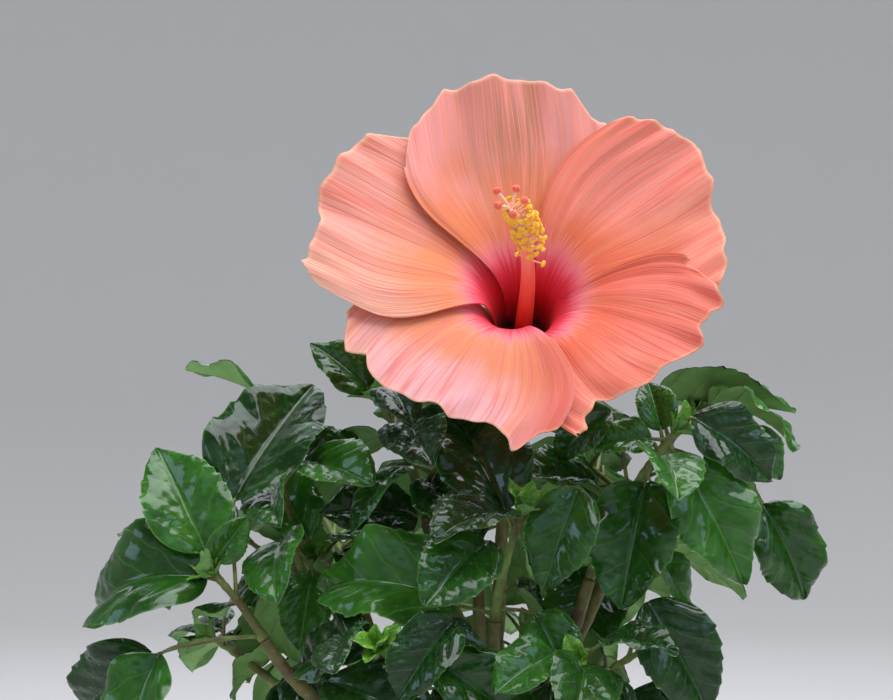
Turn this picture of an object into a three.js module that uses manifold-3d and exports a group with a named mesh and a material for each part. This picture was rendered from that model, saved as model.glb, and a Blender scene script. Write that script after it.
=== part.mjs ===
// A hibiscus bonsai in a plain pot, with one large open flower, in millimetres, +Z up.
// The origin is the centre of the pot's underside. The flower looks towards -Y and up.
import * as THREE from "three";
import { mergeVertices } from "three/addons/utils/BufferGeometryUtils.js";
import Module from "manifold-3d";

const wasm = await Module();
wasm.setup();

// Driving dimensions, in millimetres and degrees
const GAP = 0.3; // between pieces that meet
const POT = { rim: 76, waist: 71, foot: 54, height: 72, wall: 6, floor: 8, sides: 32 };
const LIP = { height: 9, lean: 1.5, edge: 1.5 };
const DRAIN = { count: 4, radius: 5, ring: 30, sides: 8 };
const SOIL = { level: 63, crown: 66, flat: 19 };
const TRUNK = { top: 114, leanX: 4, leanY: 5, base: 9.5, tip: 5.2, flare: 6, roots: 5, sides: 15, steps: 9 };
const BOUGH = { base: 3.1, tip: 1.9, sides: 6, steps: 6, spring: 0.45 };
const STEM = { base: 1.7, tip: 0.95, sides: 5, steps: 4, last: 0.94 }; // last: the highest foot of a stalk
const TWIG = { base: 1.1, tip: 0.75, sides: 3, steps: 3, leaves: 3 };
const STALK = { radius: 0.7 };
const LEAF = { length: 39, width: 0.37, thick: 0.6, fold: 20, curl: 45, clear: 2 };
const CROWN = { low: 100, high: 252, reach: 136 }; // the space that leaves keep to
const GOLDEN = 137.5; // turn from one leaf to the next round a stem
const TRIES = 7;

// The flower: its seat, how far it looks up, and its bowl, whose wall leans out from rootLean to rimLean,
// nod less at the top and more at the bottom
const FLOWER = { x: 17, y: 0, z: 246, look: 40, throat: 6.4, rootLean: 13, rimLean: 83, nod: 15 };
const PETAL = { length: 87, stretch: 0.04, claw: 2.3, widest: 0.72, early: 0.08, full: 0.8, thick: 0.9 };
const PETAL_MESH = { across: 18, along: 14 };
const FRILL = { overlap: 2.6, ruffle: 1.1 };
// The petals' turns, clockwise from the top, half widths of the half in front (counter-clockwise) and the half
// behind, the share where the front half starts to spread, and how far the margin stands out or in, from the
// edge behind to the edge in front
const PETALS = {
  top: {
    turn: -6, front: 38, behind: 38, late: 0.08,
    margin: [0, 0, 0, -0.04, 0.015, 0.005, 0.015, 0.015, 0.008, 0.013, 0, -0.018, -0.015, -0.06, 0.03],
  },
  upper_right: {
    turn: 60, front: 34, behind: 40, late: 0.08,
    margin: [0.05, 0.04, 0, -0.02, -0.035, -0.048, -0.055, -0.013, 0.015, 0.022, 0.03, 0.03, 0.042, 0.06, 0.06],
  },
  lower_right: {
    turn: 118, front: 29, behind: 50, late: 0.24,
    margin: [0.15, 0.02, -0.05, -0.143, -0.225, -0.183, -0.18, -0.117, -0.138, -0.1, -0.06, -0.062, -0.13, -0.1, 0.03],
  },
  bottom: {
    turn: 213, front: 44, behind: 44, late: 0.14,
    margin: [0.1, -0.015, -0.04, -0.05, -0.12, -0.1, -0.128, -0.178, -0.165, -0.168, -0.1, -0.033, -0.04, 0.015, 0.09],
  },
  left: {
    turn: 295, front: 39, behind: 39, late: 0.08,
    margin: [0, 0, 0, -0.035, 0, 0.025, 0.015, 0.008, -0.023, -0.025, 0.005, 0.05, 0.055, -0.09, -0.13],
  },
};
const COLUMN = { length: 68, base: 3.1, tip: 1.5, belly: 5, lean: -5, nod: -1, sides: 8, steps: 6 };
const STAMEN = { count: 30, from: 0.55, to: 0.97, length: 5.6, belly: 1.25 };
const STIGMA = { count: 5, length: 8, spread: 40, belly: 1.7 };
const CALYX = { depth: 5, bowl: 10.6, flare: 2.8, height: 9.5, tooth: 5.5, wall: 1.1, sides: 20, stalk: 2.1 };
const PEDICEL = { base: 1.8, tip: 1.5, sides: 7, steps: 7, reach: 22 };

// Boughs: the limb that each grows from and the share of that limb's length, then the plan angle, reach and
// height of its own tip
const BOUGHS = {
  leader: { from: "trunk", share: 0.97, angle: 67, reach: 30, height: 200 },
  left_low: { from: "trunk", share: 0.7, angle: 190, reach: 68, height: 151 },
  left_back: { from: "trunk", share: 0.88, angle: 168, reach: 53, height: 161 },
  centre_left: { from: "leader", share: 0.3, angle: 140, reach: 19, height: 190 },
  centre_front: { from: "trunk", share: 0.93, angle: 291, reach: 22, height: 158 },
  right_front: { from: "trunk", share: 0.8, angle: 341, reach: 41, height: 171 },
  right_back: { from: "trunk", share: 0.94, angle: 17, reach: 54, height: 188 },
  low_right: { from: "trunk", share: 0.55, angle: 331, reach: 39, height: 129 },
  front_low: { from: "trunk", share: 0.66, angle: 241, reach: 37, height: 130 },
  back: { from: "trunk", share: 0.84, angle: 86, reach: 50, height: 172 },
  back_right: { from: "back", share: 0.3, angle: 44, reach: 62, height: 156 },
  back_left: { from: "trunk", share: 0.76, angle: 128, reach: 60, height: 156 },
  low_back: { from: "trunk", share: 0.55, angle: 74, reach: 48, height: 124 },
  low_left: { from: "back_left", share: 0.35, angle: 153, reach: 68, height: 126 },
};

// Leafy shoots, one on each bough but the leader: the plan angle and rise that each ends at, its length, the
// leaves and side twigs that it grows by rule, and the first one's turn. A posed leaf, set by hand where the
// crown shows it, has its share of the stem, its heading as seen from the front, how far it comes nearer, its
// length and stalk, and where they differ its roll, its curl and the heading of its stalk (lift).
const SHOOTS = {
  left_low: {
    angle: 194, rise: 48, length: 27, leaves: 0, twigs: 0, turn: 60,
    posed: [
      { share: 0.9, heading: 168, near: 12, length: 55, curl: 110, stalk: 4 },
      { share: 1, heading: 115, near: -14, length: 42, curl: 22, stalk: 9 },
      { share: 0.97, heading: 52, near: 24, length: 18, roll: 40, stalk: 6, lift: 100 },
      { share: 0.6, heading: 62, near: -26, length: 55, roll: -14, curl: 18, stalk: 32, lift: 93 },
      { share: 0.8, heading: 130, near: -36, length: 54, stalk: 14, lift: 145 },
      { share: 0.05, heading: 213, near: -14, length: 41, roll: -25, stalk: 37, lift: 191 },
      { share: 0.05, heading: 243, near: 22, length: 39, roll: 22, stalk: 34, lift: 189 },
    ],
  },
  left_back: {
    angle: 150, rise: 84, length: 47, leaves: 5, twigs: 1, turn: 100,
    posed: [
      { share: 0.42, heading: 117, near: -8, length: 31, stalk: 5, lift: 30 },
      { share: 0.4, heading: 257, near: 34, length: 27, stalk: 10, lift: 310 },
      { share: 0.92, heading: 10, near: -8, length: 23, stalk: 11, lift: 50 },
      { share: 1, heading: 154, near: -4, length: 28, roll: 70, curl: 20, stalk: 30, lift: 108 },
      { share: 1, heading: 68, near: 10, length: 15, stalk: 14 },
    ],
  },
  centre_left: {
    angle: 180, rise: 62, length: 42, leaves: 6, twigs: 1, turn: 230,
    posed: [
      { share: 1, heading: 131, near: 14, length: 26, stalk: 7 },
      { share: 0.1, heading: 166, near: 26, length: 34, curl: 35, stalk: 5, lift: 250 },
      { share: 0.95, heading: 4, near: 22, length: 45, roll: -50, curl: 30, stalk: 9 },
    ],
  },
  centre_front: {
    angle: 322, rise: 64, length: 38, leaves: 5, twigs: 0, turn: 40,
    posed: [
      { share: 0.92, heading: 247, near: 24, length: 34, curl: 30, stalk: 22, lift: 30 },
      { share: 0.8, heading: 112, near: -18, length: 46, stalk: 8 },
      { share: 0.05, heading: 147, near: 22, length: 50, curl: 98, stalk: 14, lift: 165 },
      { share: 0.1, heading: 303, near: 26, length: 27, stalk: 13, lift: 355 },
    ],
  },
  right_front: {
    angle: 354, rise: 51, length: 56, leaves: 5, twigs: 1, turn: 10,
    posed: [
      { share: 0.76, heading: 256, near: 28, length: 43, curl: 22, stalk: 6 },
      { share: 0.93, heading: 303, near: 22, length: 43, curl: 40, stalk: 10 },
      { share: 1, heading: 332, near: 12, length: 34, curl: 40, stalk: 11, lift: 45 },
      { share: 0.97, heading: 174, near: 18, length: 21, stalk: 5 },
      { share: 0.9, heading: 100, near: -12, length: 20, stalk: 5 },
      { share: 0.55, heading: 212, near: 14, length: 25, stalk: 28, lift: 102 },
    ],
  },
  right_back: {
    angle: 358, rise: 46, length: 42, leaves: 5, twigs: 1, turn: 120,
    posed: [
      { share: 0.75, heading: 1, near: 4, length: 47, roll: -82, curl: 15, stalk: 15, lift: 108 },
      { share: 1, heading: 312, near: 10, length: 21, stalk: 21, lift: 355 },
      { share: 0.5, heading: 303, near: 8, length: 38, stalk: 39, lift: 341 },
    ],
  },
  low_right: {
    angle: 347, rise: 28, length: 30, leaves: 5, twigs: 1, turn: 200,
    posed: [
      { share: 0.85, heading: 303, near: 16, length: 40, curl: 30, stalk: 20, lift: 72 },
      { share: 0.7, heading: 336, near: 46, length: 28, stalk: 10, lift: 290 },
      { share: 0.5, heading: 268, near: 22, length: 30, stalk: 25, lift: 75 },
    ],
  },
  front_low: {
    angle: 238, rise: 40, length: 30, leaves: 5, twigs: 1, turn: 75,
    posed: [
      { share: 0.3, heading: 346, near: 34, length: 42, curl: 25, stalk: 26, lift: 171 },
      { share: 0.95, heading: 225, near: 24, length: 31, stalk: 25, lift: 25 },
    ],
  },
  back: { angle: 92, rise: 72, length: 50, leaves: 7, twigs: 2, turn: 20 },
  back_right: { angle: 45, rise: 50, length: 46, leaves: 8, twigs: 2, turn: 80 },
  back_left: { angle: 134, rise: 48, length: 42, leaves: 7, twigs: 2, turn: 160 },
  low_back: { angle: 72, rise: 22, length: 36, leaves: 6, twigs: 1, turn: 250 },
  low_left: { angle: 155, rise: 26, length: 36, leaves: 6, twigs: 1, turn: 310 },
};

// Finishes
const finish = (color, roughness) => new THREE.MeshStandardMaterial({ color, roughness, metalness: 0 });
const CLAY = finish(0x6b4a3a, 0.75);
const EARTH = finish(0x3a2a20, 0.95);
const BARK = finish(0x6a5a40, 0.85);
const GREEN_WOOD = finish(0x5c6b35, 0.6);
const FOLIAGE = finish(0x2d5a24, 0.35);
const CALYX_GREEN = finish(0x7d9a4a, 0.55);
const PEACH = finish(0xfba07e, 0.6);
const CORAL = finish(0xe8574f, 0.5);

// Angles, directions and seeded chance
const radians = THREE.MathUtils.degToRad;
const UP = new THREE.Vector3(0, 0, 1);
const vector = (x, y, z) => new THREE.Vector3(x, y, z);
const along = (point, direction, distance) => point.clone().addScaledVector(direction, distance);

// The direction at a plan angle (0 is +X, 90 is +Y) and a rise above level
function aimed(angle, rise) {
  const [a, r] = [radians(angle), radians(rise)];
  return vector(Math.cos(a) * Math.cos(r), Math.sin(a) * Math.cos(r), Math.sin(r));
}

// The direction at a heading seen from the front (0 is right, 90 is up), coming nearer by an angle
function seen(heading, near) {
  const [h, n] = [radians(heading), radians(near)];
  return vector(Math.cos(h) * Math.cos(n), -Math.sin(n), Math.sin(h) * Math.cos(n));
}

// A number from 0 to 1 that depends only on its keys
function chance(...keys) {
  const mixed = keys.reduce((sum, key, i) => sum + key * (12.9898 + 65.233 * i), 4.137);
  const spread = Math.sin(mixed) * 43758.5453;
  return spread - Math.floor(spread);
}

// The part of a direction that is square to an axis
const squareTo = (direction, axis) => along(direction, axis, -direction.dot(axis)).normalize();

// Solids
function solidOf(geometry) {
  const bare = geometry.clone();
  bare.deleteAttribute("normal");
  bare.deleteAttribute("uv");
  const merged = mergeVertices(bare, 1e-4);
  const vertProperties = new Float32Array(merged.attributes.position.array);
  const triVerts = new Uint32Array(merged.index.array);
  return new wasm.Manifold(new wasm.Mesh({ numProp: 3, vertProperties, triVerts }));
}

function geometryOf(solid) {
  const mesh = solid.getMesh();
  const geometry = new THREE.BufferGeometry();
  geometry.setAttribute("position", new THREE.BufferAttribute(new Float32Array(mesh.vertProperties), 3));
  geometry.setIndex(new THREE.BufferAttribute(new Uint32Array(mesh.triVerts), 1));
  geometry.computeVertexNormals();
  return geometry;
}

// The largest body of a solid, with the scraps of a cut left out
const largest = (solid) => solid.decompose().sort((a, b) => b.volume() - a.volume())[0];

function boxesMeet(a, b) {
  const [p, q] = [a.boundingBox(), b.boundingBox()];
  return [0, 1, 2].every((i) => p.min[i] < q.max[i] && q.min[i] < p.max[i]);
}

const meets = (a, b) => boxesMeet(a, b) && !a.intersect(b).isEmpty();

// A closed round limb along a curve, its radius given by the share of its length and the angle round it
function limb(curve, radiusAt, sides, steps) {
  const geometry = new THREE.CylinderGeometry(1, 1, 1, sides, steps);
  const frames = curve.computeFrenetFrames(steps, false);
  const position = geometry.getAttribute("position");
  for (let i = 0; i < position.count; i++) {
    const [x, y, z] = [position.getX(i), position.getY(i), position.getZ(i)];
    const share = y + 0.5;
    const step = Math.round(share * steps);
    const radius = radiusAt(share, Math.atan2(x, z));
    const place = curve.getPointAt(share);
    place.addScaledVector(frames.binormals[step], -x * radius);
    place.addScaledVector(frames.normals[step], z * radius);
    position.setXYZ(i, place.x, place.y, place.z);
  }
  const solid = solidOf(geometry);
  return solid.volume() < 0 ? solidOf(turnedOut(geometry)) : solid;
}

// A geometry with each face turned round
function turnedOut(geometry) {
  const index = geometry.index.array;
  for (let i = 0; i < index.length; i += 3) [index[i + 1], index[i + 2]] = [index[i + 2], index[i + 1]];
  return geometry;
}

const taper = (base, tip) => (share) => base + (tip - base) * share;

// A closed thin blade: a sphere's rings become its stations from root (0) to tip (1), and each point has
// a place across it (-1 to 1) and through it (-1 to 1)
function blade(across, stations, placeAt) {
  const geometry = new THREE.SphereGeometry(1, across, stations);
  const position = geometry.getAttribute("position");
  for (let i = 0; i < position.count; i++) {
    const [x, y, z] = [position.getX(i), position.getY(i), position.getZ(i)];
    const ring = Math.max(Math.hypot(x, z), 1e-6);
    const place = placeAt(Math.acos(THREE.MathUtils.clamp(y, -1, 1)) / Math.PI, x / ring, z / ring);
    position.setXYZ(i, place.x, place.y, place.z);
  }
  return solidOf(geometry);
}

// A turned solid, from radius and height pairs
const turned = (pairs, sides) =>
  new THREE.LatheGeometry(pairs.map(([radius, height]) => new THREE.Vector2(radius, height)), sides);

// The pot and its filling
function potSolid() {
  const inner = POT.rim - POT.wall;
  const underLip = POT.height - LIP.height;
  const outside = [[0, 0], [POT.foot, 0], [POT.foot + 2.5, 3], [POT.waist, underLip]];
  const lip = [
    [POT.rim - LIP.lean, underLip], [POT.rim, POT.height - LIP.edge], [POT.rim - LIP.edge, POT.height],
    [inner + 1, POT.height], [inner, POT.height - LIP.edge],
  ];
  const inside = [[POT.foot - 2, POT.floor], [0, POT.floor]];
  let pot = solidOf(turned([...outside, ...lip, ...inside], POT.sides).rotateX(Math.PI / 2));
  for (let k = 0; k < DRAIN.count; k++) {
    const turn = radians(45 + (360 / DRAIN.count) * k);
    const hole = new THREE.CylinderGeometry(DRAIN.radius, DRAIN.radius, 4 * POT.floor, DRAIN.sides);
    hole.rotateX(Math.PI / 2).translate(DRAIN.ring * Math.cos(turn), DRAIN.ring * Math.sin(turn), 0);
    pot = pot.subtract(solidOf(hole));
  }
  return pot;
}

// The pot's inner radius at a height
function potInside(z) {
  const share = (z - POT.floor) / (POT.height - LIP.edge - POT.floor);
  return THREE.MathUtils.lerp(POT.foot - 2, POT.rim - POT.wall, share);
}

function soilSolid() {
  const bottom = POT.floor + GAP;
  const slope = SOIL.level + 0.6 * (SOIL.crown - SOIL.level);
  const profile = [
    [0, bottom], [potInside(bottom) - GAP, bottom], [potInside(SOIL.level) - GAP, SOIL.level],
    [SOIL.flat + 16, slope], [SOIL.flat, SOIL.crown], [0, SOIL.crown],
  ];
  return solidOf(turned(profile, POT.sides).rotateX(Math.PI / 2));
}

// Trunk and boughs
const limbCurves = {};
const limbSolids = {};
const fatLimbs = []; // each limb GAP larger, to seat the next one clear of it

function trunkSolid(extra) {
  const foot = SOIL.crown + GAP;
  limbCurves.trunk = new THREE.CatmullRomCurve3([
    vector(0, 0, foot), vector(-1.5, 0.5, foot + 12), vector(1, 3, foot + 30),
    vector(TRUNK.leanX, TRUNK.leanY, TRUNK.top),
  ]);
  const radiusAt = (share, turn) => {
    const flare = TRUNK.flare * Math.exp(-share / 0.11);
    return taper(TRUNK.base, TRUNK.tip)(share) + flare * (1 + 0.35 * Math.cos(TRUNK.roots * turn)) + extra;
  };
  return limb(limbCurves.trunk, radiusAt, TRUNK.sides, TRUNK.steps).trimByPlane([0, 0, 1], foot);
}

// A bough springs from its parent part of the way round to the line to its tip, then bends up to it
function boughCurve({ from, share, angle, reach, height }) {
  const root = limbCurves[from].getPointAt(share);
  const tip = aimed(angle, 0).multiplyScalar(reach).setZ(height);
  const span = root.distanceTo(tip);
  const way = tip.clone().sub(root).normalize();
  const level = vector(way.x, way.y, 0.35).normalize();
  const spring = along(root, way.clone().lerp(level, 0.7).normalize(), span * BOUGH.spring);
  const arrive = along(tip, way.clone().lerp(UP, 0.45).normalize(), -span * 0.3);
  return new THREE.CubicBezierCurve3(root, spring, arrive, tip);
}

// Each limb is cut clear of those before it, so it seats against its parent
function addLimb(name, makeSolid) {
  limbSolids[name] = largest(fatLimbs.reduce((solid, fat) => solid.subtract(fat), makeSolid(0)));
  fatLimbs.push(makeSolid(GAP));
}

function growLimbs() {
  addLimb("trunk", trunkSolid);
  for (const [name, bough] of Object.entries(BOUGHS)) {
    limbCurves[name] = boughCurve(bough);
    const radiusAt = (extra) => (share) => taper(BOUGH.base, BOUGH.tip)(share) + extra;
    addLimb(name, (extra) => limb(limbCurves[name], radiusAt(extra), BOUGH.sides, BOUGH.steps));
  }
}

// The flower. A place on its bowl is a share of the petals' length and a turn clockwise from the top
const flowerAxis = vector(0, -Math.cos(radians(FLOWER.look)), Math.sin(radians(FLOWER.look)));
const flowerUp = vector(0, Math.sin(radians(FLOWER.look)), Math.cos(radians(FLOWER.look)));
const flowerRight = vector(1, 0, 0);
const flowerSeat = vector(FLOWER.x, FLOWER.y, FLOWER.z);

const outward = (turn) =>
  flowerUp.clone().multiplyScalar(Math.cos(turn)).addScaledVector(flowerRight, Math.sin(turn));

// How far the bowl's wall leans out from the axis at a share of its length
function wallLean(share, turn) {
  const rim = FLOWER.rimLean - FLOWER.nod * Math.cos(turn);
  return radians(THREE.MathUtils.lerp(FLOWER.rootLean, rim, THREE.MathUtils.smoothstep(share, 0.12, 0.62)));
}

// Radius and height of the bowl, added up along its wall
function bowlAt(share, turn) {
  const steps = 24;
  const step = (share * PETAL.length * (1 + PETAL.stretch * Math.cos(turn))) / steps;
  let [radius, height] = [FLOWER.throat, GAP];
  for (let i = 0; i < steps; i++) {
    const lean = wallLean((share * (i + 0.5)) / steps, turn);
    radius += step * Math.sin(lean);
    height += step * Math.cos(lean);
  }
  return [radius, height];
}

function petalHalfWidth(share, petal, across) {
  const [half, from] = across > 0 ? [petal.front, petal.late] : [petal.behind, PETAL.early];
  const fan = THREE.MathUtils.lerp(PETAL.claw, half, THREE.MathUtils.smoothstep(share, from, PETAL.full));
  return fan * Math.min(1, 0.35 + share / 0.05);
}

// How far a petal's margin stands out or in, between its edge behind (-1) and its edge in front (1)
function marginAt(margin, across) {
  const x = (Math.asin(across) / Math.PI + 0.5) * (margin.length - 1);
  const i = THREE.MathUtils.clamp(Math.floor(x), 0, margin.length - 2);
  return THREE.MathUtils.lerp(margin[i], margin[i + 1], x - i);
}

// Each petal lies over the one before it, counter-clockwise: that edge is lifted and the other one sunk
function petalSolid(petal, order) {
  const middle = radians(petal.turn);
  return blade(PETAL_MESH.across, PETAL_MESH.along, (station, side, through) => {
    const share = 1 - (1 - station) ** 1.5;
    const past = Math.max(0, (share - PETAL.widest) / (1 - PETAL.widest));
    const across = THREE.MathUtils.clamp(side * Math.sqrt(Math.max(0, 1 - past ** 4)), -1, 1);
    const end = PETAL.widest + (1 - PETAL.widest) * (1 - across ** 2) ** 0.25;
    const reach = share * (1 + marginAt(petal.margin, across) * THREE.MathUtils.smoothstep(share / end, 0.45, 1));
    const turn = middle - (across * petalHalfWidth(reach, petal, across)) / bowlAt(reach, middle)[0];
    const [radius, height] = bowlAt(reach, turn);
    const lean = wallLean(reach, turn);
    const normal = outward(turn).multiplyScalar(-Math.cos(lean)).addScaledVector(flowerAxis, Math.sin(lean));
    const wave = Math.sin(9 * across + 2.1 * order) * across ** 2 + Math.sin(7 * across + order) * reach ** 6;
    const apart = FRILL.overlap * across * THREE.MathUtils.smoothstep(reach, 0.1, 0.36);
    const ruffle = FRILL.ruffle * wave * THREE.MathUtils.smoothstep(reach, 0.2, 0.6);
    const place = along(along(flowerSeat, flowerAxis, height), outward(turn), radius);
    return along(place, normal, apart + ruffle + (through * PETAL.thick) / 2);
  });
}

// A slim body from a root to an end, widest near the end
function clubSolid(root, end, belly) {
  const reach = end.clone().sub(root);
  const turn = new THREE.Quaternion().setFromUnitVectors(UP, reach.clone().normalize());
  const geometry = new THREE.OctahedronGeometry(1);
  const position = geometry.getAttribute("position");
  for (let i = 0; i < position.count; i++) {
    const place = new THREE.Vector3().fromBufferAttribute(position, i);
    const share = place.z < -0.5 ? 0 : place.z > 0.5 ? 1 : 0.75;
    place.set(place.x * belly, place.y * belly, share * reach.length()).applyQuaternion(turn).add(root);
    position.setXYZ(i, place.x, place.y, place.z);
  }
  return solidOf(geometry);
}

// The direction at a turn round the flower's axis and a lift along it
const spoke = (turn, lift) =>
  outward(turn).multiplyScalar(Math.cos(radians(lift))).addScaledVector(flowerAxis, Math.sin(radians(lift)));

function columnSolid() {
  const foot = along(flowerSeat, flowerAxis, GAP);
  const rise = along(flowerSeat, flowerAxis, COLUMN.length / 3);
  const swing = along(along(flowerSeat, flowerAxis, (COLUMN.length * 2) / 3), flowerRight, COLUMN.belly);
  const tip = along(along(along(flowerSeat, flowerAxis, COLUMN.length), flowerUp, COLUMN.nod), flowerRight, COLUMN.lean);
  const curve = new THREE.CubicBezierCurve3(foot, rise, swing, tip);
  const pieces = [limb(curve, taper(COLUMN.base, COLUMN.tip), COLUMN.sides, COLUMN.steps)];
  for (let i = 0; i < STAMEN.count; i++) {
    const share = THREE.MathUtils.lerp(STAMEN.from, STAMEN.to, Math.sqrt((i + 0.5) / STAMEN.count));
    const root = curve.getPointAt(share);
    const end = along(root, spoke(radians(GOLDEN * i), 15 + 25 * chance(i, 3)), STAMEN.length);
    pieces.push(clubSolid(root, end, STAMEN.belly));
  }
  for (let i = 0; i < STIGMA.count; i++) {
    const root = curve.getPointAt(0.985);
    const end = along(root, spoke((2 * Math.PI * i) / STIGMA.count, 90 - STIGMA.spread), STIGMA.length);
    pieces.push(clubSolid(root, end, STIGMA.belly));
  }
  return wasm.Manifold.union(pieces);
}

// A cup with five teeth round the foot of the petals
function calyxSolid() {
  const lip = CALYX.bowl + CALYX.flare;
  const profile = [
    [0, -CALYX.depth], [CALYX.stalk, -CALYX.depth], [CALYX.bowl * 0.8, -1], [CALYX.bowl, CALYX.height / 2],
    [lip, CALYX.height], [lip - CALYX.wall, CALYX.height], [CALYX.bowl - CALYX.wall, CALYX.height / 2],
    [CALYX.bowl * 0.7, 0], [0, 0],
  ];
  const geometry = turned(profile, CALYX.sides);
  const position = geometry.getAttribute("position");
  for (let i = 0; i < position.count; i++) {
    const [x, y, z] = [position.getX(i), position.getY(i), position.getZ(i)];
    const turn = Math.atan2(x, z);
    const tooth = y > 0.9 * CALYX.height ? CALYX.tooth * (0.5 + 0.5 * Math.cos(5 * turn)) : 0;
    const place = along(flowerSeat, flowerAxis, y + tooth);
    place.addScaledVector(flowerUp, z).addScaledVector(flowerRight, -x);
    position.setXYZ(i, place.x, place.y, place.z);
  }
  const solid = solidOf(geometry);
  return solid.volume() < 0 ? solidOf(turnedOut(geometry)) : solid;
}

// The flower's stalk, on from the leader's tip to the foot of the calyx
function pedicelSolid() {
  const leaving = limbCurves.leader.getTangentAt(1);
  const root = along(limbCurves.leader.getPointAt(1), leaving, GAP);
  const end = along(flowerSeat, flowerAxis, -CALYX.depth - GAP);
  const rising = along(root, leaving, PEDICEL.reach);
  const curve = new THREE.CubicBezierCurve3(root, rising, along(end, flowerAxis, -PEDICEL.reach), end);
  return limb(curve, taper(PEDICEL.base, PEDICEL.tip), PEDICEL.sides, PEDICEL.steps);
}

// Leaves. A leaf is a broad ovate blade, folded along its midrib, that curls over towards its tip
const leafHalfWidth = (share) => 2.68 * share ** 0.55 * (1 - share) ** 0.95;

// A point of a leaf's midrib, with the directions along and out of it there
function midribAt({ root, way, face, length, curl }, share) {
  const bend = radians(curl) * share;
  const mean = bend / 2;
  const reach = length * share * (bend > 1e-3 ? Math.sin(mean) / mean : 1);
  const place = along(along(root, way, reach * Math.cos(mean)), face, -reach * Math.sin(mean));
  const out = face.clone().multiplyScalar(Math.cos(bend)).addScaledVector(way, Math.sin(bend));
  return { place, out };
}

// The place on a leaf at a share of its midrib, a side (-1 to 1) and a face (1 upper, -1 under)
function onBlade(leaf, share, side, through, thick) {
  const { place, out } = midribAt(leaf, share);
  const half = side * leaf.length * LEAF.width * leafHalfWidth(share);
  place.addScaledVector(leaf.face.clone().cross(leaf.way), half * Math.cos(radians(LEAF.fold)));
  return place.addScaledVector(out, Math.abs(half) * Math.sin(radians(LEAF.fold)) + (through * thick) / 2);
}

// The place on a leaf's stalk, at a share of the way from its stem
function onStalk(leaf, share, side, through) {
  const way = leaf.root.clone().sub(leaf.from).normalize();
  const out = squareTo(leaf.face, way);
  const place = leaf.from.clone().lerp(leaf.root, share);
  place.addScaledVector(out.clone().cross(way), side * STALK.radius);
  return place.addScaledVector(out, through * STALK.radius);
}

// A leaf's blade alone, thickened to ask for room
const bladeSolid = (leaf) =>
  blade(4, 5, (share, side, through) => onBlade(leaf, share, side, through, LEAF.clear));

// A leaf with its stalk, whose foot is inside the stem
function leafSolid(leaf) {
  return blade(4, 7, (station, side, through) => {
    const ring = Math.round(station * 7);
    if (ring < 3) return onStalk(leaf, [0, 0.05, 1][ring], side, through);
    return onBlade(leaf, (ring - 2.2) / 4.8, side, through, LEAF.thick);
  });
}

// What a new leaf keeps clear of: a solid, and on a shoot the shoot's name and a leaf's thickened blade
const placed = [];
const foliage = {}; // each shoot's pieces, to be joined

// Whether a blade is inside the crown's space
function fitsIn(solid) {
  const { min, max } = solid.boundingBox();
  const far = Math.max(-min[0], max[0], -min[1], max[1]);
  return min[2] > CROWN.low && max[2] < CROWN.high && far < CROWN.reach;
}

// Whether a new blade or stalk of a shoot is clear of all else. Feet of stalks may meet on their own stem
const isFree = (solid, shoot) =>
  placed.every((other) => {
    const body = other.shoot === shoot ? other.blade : other.solid;
    return !body || !meets(body, solid);
  });

// Adds the first of a leaf's poses that is free, or none
function addLeaf(shoot, poses) {
  for (const leaf of poses) {
    const room = bladeSolid(leaf);
    if (!fitsIn(room) || !isFree(room, shoot)) continue;
    const solid = leafSolid(leaf);
    if (!isFree(solid, shoot)) continue;
    foliage[shoot].push(solid);
    placed.push({ solid, shoot, blade: room });
    return;
  }
}

// A leaf set by hand. Each further attempt leans it a little nearer or further
function posedLeaf(stemPlace, pose, attempt) {
  const { heading, near, length, roll = 0, curl = LEAF.curl, stalk, lift = heading } = pose;
  const shift = (attempt % 2 ? 1 : -1) * Math.ceil(attempt / 2) * 6;
  const way = seen(heading, near + shift);
  const front = vector(0, -0.8, 0.6);
  const face = squareTo(front, way).applyAxisAngle(way, radians(roll));
  const root = along(stemPlace, seen(lift, (near + shift) / 2), stalk);
  return { from: stemPlace, root, way, face, length, curl };
}

// A leaf by rule: it stands out from its stem at its own turn, droops more lower down, and faces up and out
function grownLeaf(stemPlace, share, turn, size, keys, attempt) {
  const angle = turn + 50 * (chance(...keys, 1) - 0.5) + attempt * 23 * (attempt % 2 ? 1 : -1);
  const rise = THREE.MathUtils.lerp(5, 50, share) + 20 * (chance(...keys, 2) - 0.5);
  const droop = THREE.MathUtils.lerp(58, 28, share) + 24 * (chance(...keys, 3) - 0.5);
  const length = LEAF.length * size * (0.82 + 0.36 * chance(...keys, 4)) * (1 - 0.04 * attempt);
  const root = along(stemPlace, aimed(angle, rise), 7 + 9 * chance(...keys, 5));
  const way = aimed(angle, rise - droop);
  const light = UP.clone().addScaledVector(vector(stemPlace.x, stemPlace.y, 0).normalize(), 0.7);
  const face = squareTo(light, way).applyAxisAngle(way, radians(40 * (chance(...keys, 6) - 0.5)));
  return { from: stemPlace, root, way, face, length, curl: LEAF.curl * (0.5 + chance(...keys, 7)) };
}

const attempts = (make) => Array.from({ length: TRIES }, (_, attempt) => make(attempt));

// The stem of a shoot: on from its bough's tip, bending to its own way
function startStem(name) {
  const { angle, rise, length } = SHOOTS[name];
  const leaving = limbCurves[name].getTangentAt(1);
  const root = along(limbCurves[name].getPointAt(1), leaving, GAP);
  const knee = along(root, leaving, length * 0.4);
  const curve = new THREE.QuadraticBezierCurve3(root, knee, along(knee, aimed(angle, rise), length * 0.6));
  const solid = limb(curve, taper(STEM.base, STEM.tip), STEM.sides, STEM.steps);
  foliage[name] = [solid];
  placed.push({ solid, shoot: name });
  return curve;
}

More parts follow.
